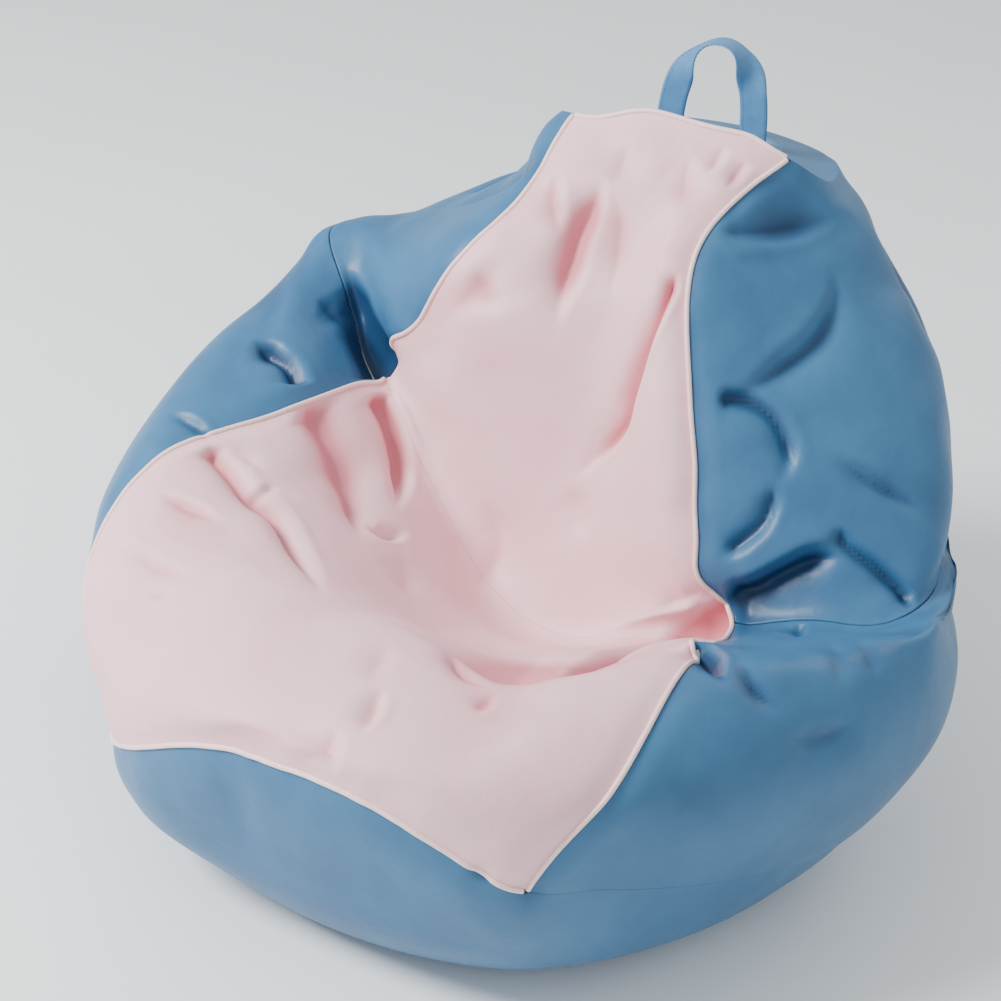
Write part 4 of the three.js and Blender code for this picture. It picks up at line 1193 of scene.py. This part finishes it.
# A stitch and a zip tooth are small parts to be strewn.
def stitchPart(name, length, radius):
    rows = []
    for x, r in ((-0.5, 0.35), (-0.36, 0.85), (0, 1), (0.36, 0.85), (0.5, 0.35)):
        rows.append([(x * length * mm, r * radius * mm * math.cos(a), r * radius * mm * math.sin(a))
                     for a in np.linspace(0, 2 * math.pi, 6, endpoint=False)])
    points = np.array(rows)
    faces = [face[::-1] for face in gridFaces(5, 6, True).tolist()]
    faces += [list(range(6)), list(range(24, 30))[::-1]]
    part = newMesh(name, points, faces)
    faceOutwards(part)
    scene.collection.objects.unlink(part)
    return part


# Rows of stitches along lines. length, radius and pitch are in mm, and wobble is how uneven they are.
def sew(name, lines, thread, partName, length, radius, pitch, wobble):
    return alongLines(name, lines, strewParts, {
        "Pitch": pitch * mm, "Part": stitchPart(partName, length, radius), "Finish": thread, "Wobble": wobble,
    })


def toothPart(name, wide, reach, high):
    mesh = bmesh.new()
    bmesh.ops.create_cube(mesh, size=1)
    bmesh.ops.scale(mesh, vec=Vector((wide * mm, reach * mm, high * mm)), verts=mesh.verts)
    bmesh.ops.bevel(mesh, geom=list(mesh.edges), offset=0.28 * mm, segments=1, affect="EDGES")
    data = bpy.data.meshes.new(name)
    mesh.to_mesh(data)
    mesh.free()
    return bpy.data.objects.new(name, data)


# The zips lie at the back of the base seam, on a true cone.
zips = {
    "tape": 12, "tapeThick": 0.6, "gap": 1.4, "toothReach": 2.5, "toothHigh": 1.2, "toothWide": 1.5, "pitch": 2.5,
    "toothAngle": 36.2, "tapeAngle": 41, "outerDepth": 2.4, "linerDepth": 6.8,
}


def coneSurface(degreesOut, up, out):
    return inFrame(conePoint(np.radians(degreesOut), up, out))


def zipHalf(name, node, side, depth):
    angles = np.linspace(zips["tapeAngle"], -zips["tapeAngle"], 161)
    ups = np.linspace(zips["gap"] / 2, zips["tape"], 9) * side
    ups = ups if side > 0 else ups[::-1]
    ribs = 0.06 * np.cos(np.linspace(0, 8 * math.pi, 9))
    outer = np.stack([coneSurface(angles, up, -depth + rib) for up, rib in zip(ups, ribs)])
    tape = clothShell(name, outer, zips["tapeThick"] * mm)
    dress(tape, zipWeave, nodes=[node])
    reach = zips["toothAngle"]
    along = np.linspace(-reach, reach, 220)
    middle = side * (zips["gap"] / 2 + zips["toothReach"] / 2)
    line = coneSurface(along, middle, -depth + zips["toothHigh"] / 2 - 0.05)
    out = unit(coneSurface(along, middle, 1.0) - coneSurface(along, middle, 0.0))
    tooth = toothPart(name + "Tooth", zips["toothWide"], zips["toothReach"], zips["toothHigh"])
    teeth = alongLines(name + "Teeth", [(line, out)], strewParts, {
        "Pitch": zips["pitch"] * mm, "Part": tooth, "Finish": zipWeave,
    })
    dress(teeth, zipWeave)


for name, node, side, depth in (
    ("zipUpperTape", "zip_upper_tape", 1, "outerDepth"), ("zipLowerTape", "zip_lower_tape", -1, "outerDepth"),
    ("linerZipUpperTape", "liner_zip_upper_tape", 1, "linerDepth"),
    ("linerZipLowerTape", "liner_zip_lower_tape", -1, "linerDepth"),
):
    zipHalf(name, node, side, zips[depth])


# A cast or cut metal part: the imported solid, welded, with its sharp edges eased.
def easedMetal(name, node, body, ease):
    mesh = bmesh.new()
    mesh.from_mesh(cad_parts[node].data)
    bmesh.ops.remove_doubles(mesh, verts=mesh.verts, dist=0.00002)
    bmesh.ops.dissolve_limit(mesh, angle_limit=math.radians(1.5), verts=mesh.verts, edges=mesh.edges)
    sharp = [e for e in mesh.edges if len(e.link_faces) == 2 and e.calc_face_angle(0) > math.radians(30)]
    bmesh.ops.bevel(mesh, geom=sharp, offset=ease * mm, segments=2, profile=0.6, affect="EDGES",
                    clamp_overlap=True)
    bmesh.ops.triangulate(mesh, faces=mesh.faces)
    data = bpy.data.meshes.new(name)
    mesh.to_mesh(data)
    mesh.free()
    data.shade_smooth()
    piece = bpy.data.objects.new(name, data)
    scene.collection.objects.link(piece)
    data.set_sharp_from_angle(angle=math.radians(40))
    dress(piece, zipMetal, body, [node])


for name, node, body, ease in (
    ("zipSlider", "zip_slider", "slider", 0.16), ("zipPull", "zip_pull", "pull", 0.22),
    ("linerZipSlider", "liner_zip_slider", "liner_slider", 0.16),
    ("zipLeftStop", "zip_left_stop", "bag", 0.2), ("zipRightStop", "zip_right_stop", "bag", 0.2),
):
    easedMetal(name, node, body, ease)
print("zips made")


# Inside the cover: the liner, its beads and the care label.
inside = {
    "columns": 256, "rows": 120, "linerDepth": 6.2, "linerWall": 0.8, "fillDepth": 10.5, "spread": 1.5,
    "fillColumns": 200, "fillRows": 96,
    "slot": 7, "straight": (1.65, 2.84),  # the liner runs straight between these rings, clear of the fold there
    "labelU": (3.375, 3.5), "labelV": (4.0, 4.5), "labelDepth": 3.0, "labelWall": 0.5,
}


def innerGrid(depth, columns, rows):
    slot = inside["slot"] / cover["pitch"]
    lower = np.linspace(floorCentre, baseSeam - slot, int(rows * 0.3))
    upper = np.linspace(baseSeam + slot, capTop, int(rows * 0.7))
    u, v = roundGrid(np.concatenate([lower, upper]), columns)
    points = surface(u, v)
    rise = relief(u, v, points, inside["spread"], True) * aboveFloor(v)
    nearZip = (1 - smoothstep(fromBack(u), 1.0, 1.4)) * (1 - smoothstep(np.abs(v - baseSeam), 0.2, 0.6))
    inner = points + outward(u, v) * (rise * (1 - nearZip) - depth * mm)[..., None]
    band = np.flatnonzero((v[:, 0] > inside["straight"][0]) & (v[:, 0] < inside["straight"][1]))
    below, above = band[0] - 1, band[-1] + 1
    share = ((v[band, 0] - v[below, 0]) / (v[above, 0] - v[below, 0]))[:, None, None]
    inner[band] = inner[below] + share * (inner[above] - inner[below])
    return u, v, inner


u, v, grid = innerGrid(inside["linerDepth"], inside["columns"], inside["rows"])
gap = (np.abs((v[:-1] + v[1:]) / 2 - baseSeam) < 0.02) & (np.abs(u[:-1] + 4 / inside["columns"] - 4) < 0.88)
liner = clothShell("linerBag", grid, inside["linerWall"] * mm, True, (True, True), gap=gap)
dress(liner, linerWeave, nodes=["liner_bag"])
u, v, grid = innerGrid(inside["fillDepth"], inside["fillColumns"], inside["fillRows"])
heap = clothShell("beadHeap", grid, 0, True, (True, True))
dress(heap, beadFoam, nodes=["bead_fill"])


# A grid at a height above the cover's cloth, in mm.
def clothGrid(u, v, height):
    points = surface(u, v)
    return points + outward(u, v) * (relief(u, v, points) + height * mm)[..., None]


def careLabel():
    u, v = np.meshgrid(np.linspace(*inside["labelU"], 13), np.linspace(*inside["labelV"], 17))
    outer = clothGrid(u, v, -inside["labelDepth"])
    piece = clothShell("careLabel", outer, inside["labelWall"] * mm)
    dress(piece, labelWeave, nodes=["care_label"])
    out = outward(u, v)[1:-1]
    edge = [(outer[1:-1, column] + out[:, column] * 0.2 * mm, out[:, column]) for column in (1, -2)]
    seam = sew("careLabelStitches", edge, paleThread, "labelStitch",
               length=2.2, radius=0.3, pitch=3.2, wobble=0.08)
    dress(seam, paleThread)


careLabel()
print("liner, beads and label made")


# The webbing patch on the cap, and the carry handle.
handle = {
    "patchStart": 11.45, "patchRise": 0.4, "patchThick": 1.2, "footClearance": 2.6,
    "width": 30, "thick": 2.4, "height": 96, "lean": 5, "square": 0.93,
    "leftFootAt": (6.2, 11.7), "rightFootAt": (1.9, 11.66), "sections": 110,
    "seamFromMiddle": 11.5, "tabLength": 24, "tabWidth": 33, "tabThick": 1.6, "sink": 3.6,
}


def patchOnCap():
    columns, rows = 160, 18
    u, v = roundGrid(np.linspace(handle["patchStart"], capTop, rows), columns)
    edge = np.linspace(0, 1, rows)[:, None] * 40
    top = handle["patchRise"] + handle["patchThick"] - 0.5 * rolled(edge, 1.2)
    outer = clothGrid(u, v, top)
    piece = clothShell("handlePatch", outer, handle["patchThick"] * mm, True, (False, True))
    dress(piece, webbingCloth, nodes=["handle_patch"])
    ring = np.append(np.arange(columns), 0)
    out = outward(u, v)[1, ring]
    line = outer[1, ring] + out * 0.15 * mm
    seam = sew("handlePatchStitches", [(line, out)], blueThread, "patchStitch",
               length=3.4, radius=0.42, pitch=4.6, wobble=0.08)
    dress(seam, blueThread)


patchOnCap()


def footAt(u, v):
    rise = (handle["patchRise"] + handle["patchThick"] + handle["footClearance"]) * mm
    u, v = np.array([u]), np.array([v])
    out = outward(u, v, 0.08)[0]
    return surface(u, v)[0] + out * rise, out


leftFoot, leftOut = footAt(*handle["leftFootAt"])
rightFoot, rightOut = footAt(*handle["rightFootAt"])
acrossLoop = unit(rightFoot - leftFoot)
loopNormal = unit(np.cross([0, 0, 1], acrossLoop))
upLoop = np.cross(acrossLoop, loopNormal)
span = np.linalg.norm(rightFoot - leftFoot)


def loopPoint(share):
    angle = math.pi * share
    soft = [np.sign(x) * abs(x) ** handle["square"] for x in (math.sin(angle), math.cos(angle))]
    rise = handle["height"] * soft[0]
    lean = handle["lean"] * (rise / handle["height"]) ** 2
    along = -span / 2 * soft[1] + lean * mm
    return (leftFoot + rightFoot) / 2 + acrossLoop * along + upLoop * rise * mm


def strapSections():
    # even steps along the loop, and a short sunk end at each foot
    shares = np.linspace(0, 1, 1201)
    points = np.array([loopPoint(s) for s in shares])
    lengths = lengthsAlong(points)
    even = np.interp(np.linspace(0, lengths[-1], handle["sections"]), lengths, shares)
    sections = []
    for share in even:
        ahead, behind = loopPoint(min(share + 0.012, 1)), loopPoint(max(share - 0.012, 0))
        way = unit(ahead - behind)
        if share in (0, 1):
            way = upLoop * (1 if share == 0 else -1)
        inPlane = np.cross(way, loopNormal)
        twist = math.pi / 2 * float(smoothstep(math.sin(math.pi * share), 0.45, 1))
        wide = inPlane * math.cos(twist) + loopNormal * math.sin(twist)
        sections.append((loopPoint(share), way, wide, unit(np.cross(way, wide))))
    first, last = sections[0], sections[-1]
    sink = upLoop * handle["sink"] * mm
    sections.insert(0, (first[0] - sink, *first[1:]))
    sections.append((last[0] - sink, *last[1:]))
    return sections


strap = strapSections()


def carryStrap():
    # a rounded, slightly cupped outline with a firmer woven edge on each side
    halfWide, halfThick = handle["width"] / 2, handle["thick"] / 2
    xs = np.concatenate([np.linspace(-1, 1, 17), np.linspace(1, -1, 17)[1:-1]])
    side = np.concatenate([np.ones(17), -np.ones(15)])
    bulge = 1 - 0.2 * np.exp(-((np.abs(xs) - 0.82) / 0.05) ** 2) - 0.55 * (np.abs(xs) > 0.99)
    outline = np.stack([xs * halfWide, side * bulge * halfThick], -1) * mm
    outline[0, 1] = outline[16, 1] = 0.0
    grid = np.array([
        centre + outline[:, :1] * wide + outline[:, 1:] * thick for centre, _, wide, thick in strap
    ])
    count = grid.shape[1]
    faces = [face[::-1] for face in gridFaces(len(grid), count, True).tolist()]
    faces += [list(range(count)), [len(grid) * count - 1 - k for k in range(count)]]
    piece = newMesh("carryHandle", grid, faces)
    lengths = lengthsAlong(grid[:, 8])
    place = np.stack(np.broadcast_arrays(outline[None, :, 0], lengths[:, None]), -1).reshape(-1, 2)
    setGrain(piece.data, place)
    faceOutwards(piece)
    dress(piece, webbingCloth, None, ["carry_handle"])
    return piece


def strapStitches():
    lines = []
    for x in (-handle["seamFromMiddle"], handle["seamFromMiddle"]):
        for side in (-1, 1):
            high = side * (handle["thick"] / 2 + 0.12)
            line = np.array([c + wide * x * mm + thick * high * mm for c, _, wide, thick in strap[2:-2]])
            lines.append((line, np.array([thick * side for *_, thick in strap[2:-2]])))
    piece = sew("carryHandleStitches", lines, blueThread, "strapStitch",
                length=3.2, radius=0.36, pitch=4.4, wobble=0.06)
    return dress(piece, blueThread, None)


# The strap's turned-out ends, sewn flat to the patch on each side.
def footTabs():
    lines = []
    for name, foot, out in (("handleLeftTab", leftFoot, leftOut), ("handleRightTab", rightFoot, rightOut)):
        across = unit(acrossLoop - out * (acrossLoop @ out))
        deep = np.cross(out, across)
        level = foot - out * (handle["footClearance"] - handle["tabThick"] - 0.1) * mm
        x = np.linspace(-0.5, 0.5, 23)[None, :, None] * handle["tabWidth"] * mm
        y = np.linspace(-0.5, 0.5, 17)[:, None, None] * handle["tabLength"] * mm
        edge = np.minimum(np.broadcast_to(handle["tabWidth"] / 2 - np.abs(x) / mm, (17, 23, 1)),
                          np.broadcast_to(handle["tabLength"] / 2 - np.abs(y) / mm, (17, 23, 1)))
        puff = 0.5 * np.exp(-(y / (3 * mm)) ** 2) * np.ones_like(x) - 0.6 * rolled(edge, 1.5)
        grid = level + across * x + deep * y + out * puff * mm
        piece = clothShell(name, grid, handle["tabThick"] * mm)
        dress(piece, webbingCloth)
        box = [(-0.4, -0.4), (0.4, -0.4), (0.4, 0.4), (-0.4, 0.4), (-0.4, -0.4), (0.4, 0.4)]
        marks = np.concatenate([np.linspace(box[k], box[k + 1], 12, endpoint=False) for k in range(5)])
        line = (level + across * marks[:, :1] * handle["tabWidth"] * mm
                + deep * marks[:, 1:] * handle["tabLength"] * mm + out * 0.35 * mm)
        lines.append((line, np.repeat(out[None], len(line), 0)))
    seam = sew("handleTabStitches", lines, blueThread, "tabStitch",
               length=3.0, radius=0.42, pitch=3.8, wobble=0.06)
    dress(seam, blueThread)


strapPiece = carryStrap()
strapThread = strapStitches()
footTabs()
for piece in (strapPiece, strapThread):
    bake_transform(piece)
print("handle made")


# Seam stitches run beside the zip opening.
def zipOpeningStitches():
    u = np.linspace(3.1, 4.9, 400)
    lines = []
    for side in (-1, 1):
        away = (edges["zipInset"] * zipOpening(u) + 4.5) / cover["pitch"]
        lines.append(coverLine(u, baseSeam + side * away, 0.15))
    piece = sew("zipOpeningStitches", lines, blueThread, "seamStitch",
                length=4.2, radius=0.4, pitch=5.6, wobble=0.07)
    dress(piece, blueThread)


zipOpeningStitches()


# Floor, light and camera.
studio = {
    "floor": "#FAFBFB", "floorShade": "#F6F8F8", "world": "#E9EEF2", "worldStrength": 1.0,
    "keyPower": 200, "keySize": 1.2, "keyAt": (-1.9, -2.0, 2.5),
    "fillPower": 2, "fillSize": 2.6, "fillAt": (2.6, -1.2, 1.7),
    "backPower": 12, "backSize": 2.0, "backAt": (0.6, 2.4, 2.2),
}


def studioFloor():
    mesh = bmesh.new()
    bmesh.ops.create_grid(mesh, x_segments=8, y_segments=8, size=9)
    data = bpy.data.meshes.new("studioFloor")
    mesh.to_mesh(data)
    mesh.free()
    floor = bpy.data.objects.new("studioFloor", data)
    scene.collection.objects.link(floor)
    material, tree, shader = newMaterial("paleFloor")
    colour = twoTone(tree, noiseAt(tree, 500, 2.0, 0.5, 1.0), studio["floorShade"], studio["floor"])
    feed(tree, shader, {"Base Color": colour, "Roughness": 0.7})
    data.materials.append(material)


def areaLight(name, at, power, size):
    light = bpy.data.lights.new(name, "AREA")
    light.energy = power
    light.shape = "DISK"
    light.size = size
    lamp = bpy.data.objects.new(name, light)
    lamp.location = at
    lamp.rotation_euler = (Vector((0, 0, 0.3)) - Vector(at)).to_track_quat("-Z", "Y").to_euler()
    scene.collection.objects.link(lamp)


def studioLight():
    world = bpy.data.worlds.new("studioAir")
    world.use_nodes = True
    air = world.node_tree.nodes["Background"]
    air.inputs["Color"].default_value = linear(studio["world"])
    air.inputs["Strength"].default_value = studio["worldStrength"]
    scene.world = world
    for part in ("key", "fill", "back"):
        areaLight(part + "Light", studio[part + "At"], studio[part + "Power"], studio[part + "Size"])


def placeCamera():
    view = {
        "azimuth": 30, "elevation": 30, "roll": 6.9, "distance": 2.0, "lookAt": (-0.021, -0.02325, 0.32),
        "sensor": 36, "focalLength": 36 * 2000 / 1001,
    }
    a, e, r = (math.radians(view[k]) for k in ("azimuth", "elevation", "roll"))
    back = Vector((math.sin(a) * math.cos(e), -math.cos(a) * math.cos(e), math.sin(e)))
    right = Vector((math.cos(a), math.sin(a), 0))
    up = back.cross(right)
    across = math.cos(r) * right + math.sin(r) * up
    upward = -math.sin(r) * right + math.cos(r) * up
    lens = bpy.data.cameras.new("camera")
    lens.sensor_width = view["sensor"]
    lens.lens = view["focalLength"]
    camera = bpy.data.objects.new("camera", lens)
    turned = Matrix((across, upward, back)).transposed().to_4x4()
    camera.matrix_world = Matrix.Translation(Vector(view["lookAt"]) + back * view["distance"]) @ turned
    scene.collection.objects.link(camera)
    scene.camera = camera


studioFloor()
studioLight()
placeCamera()

print("scene finished")
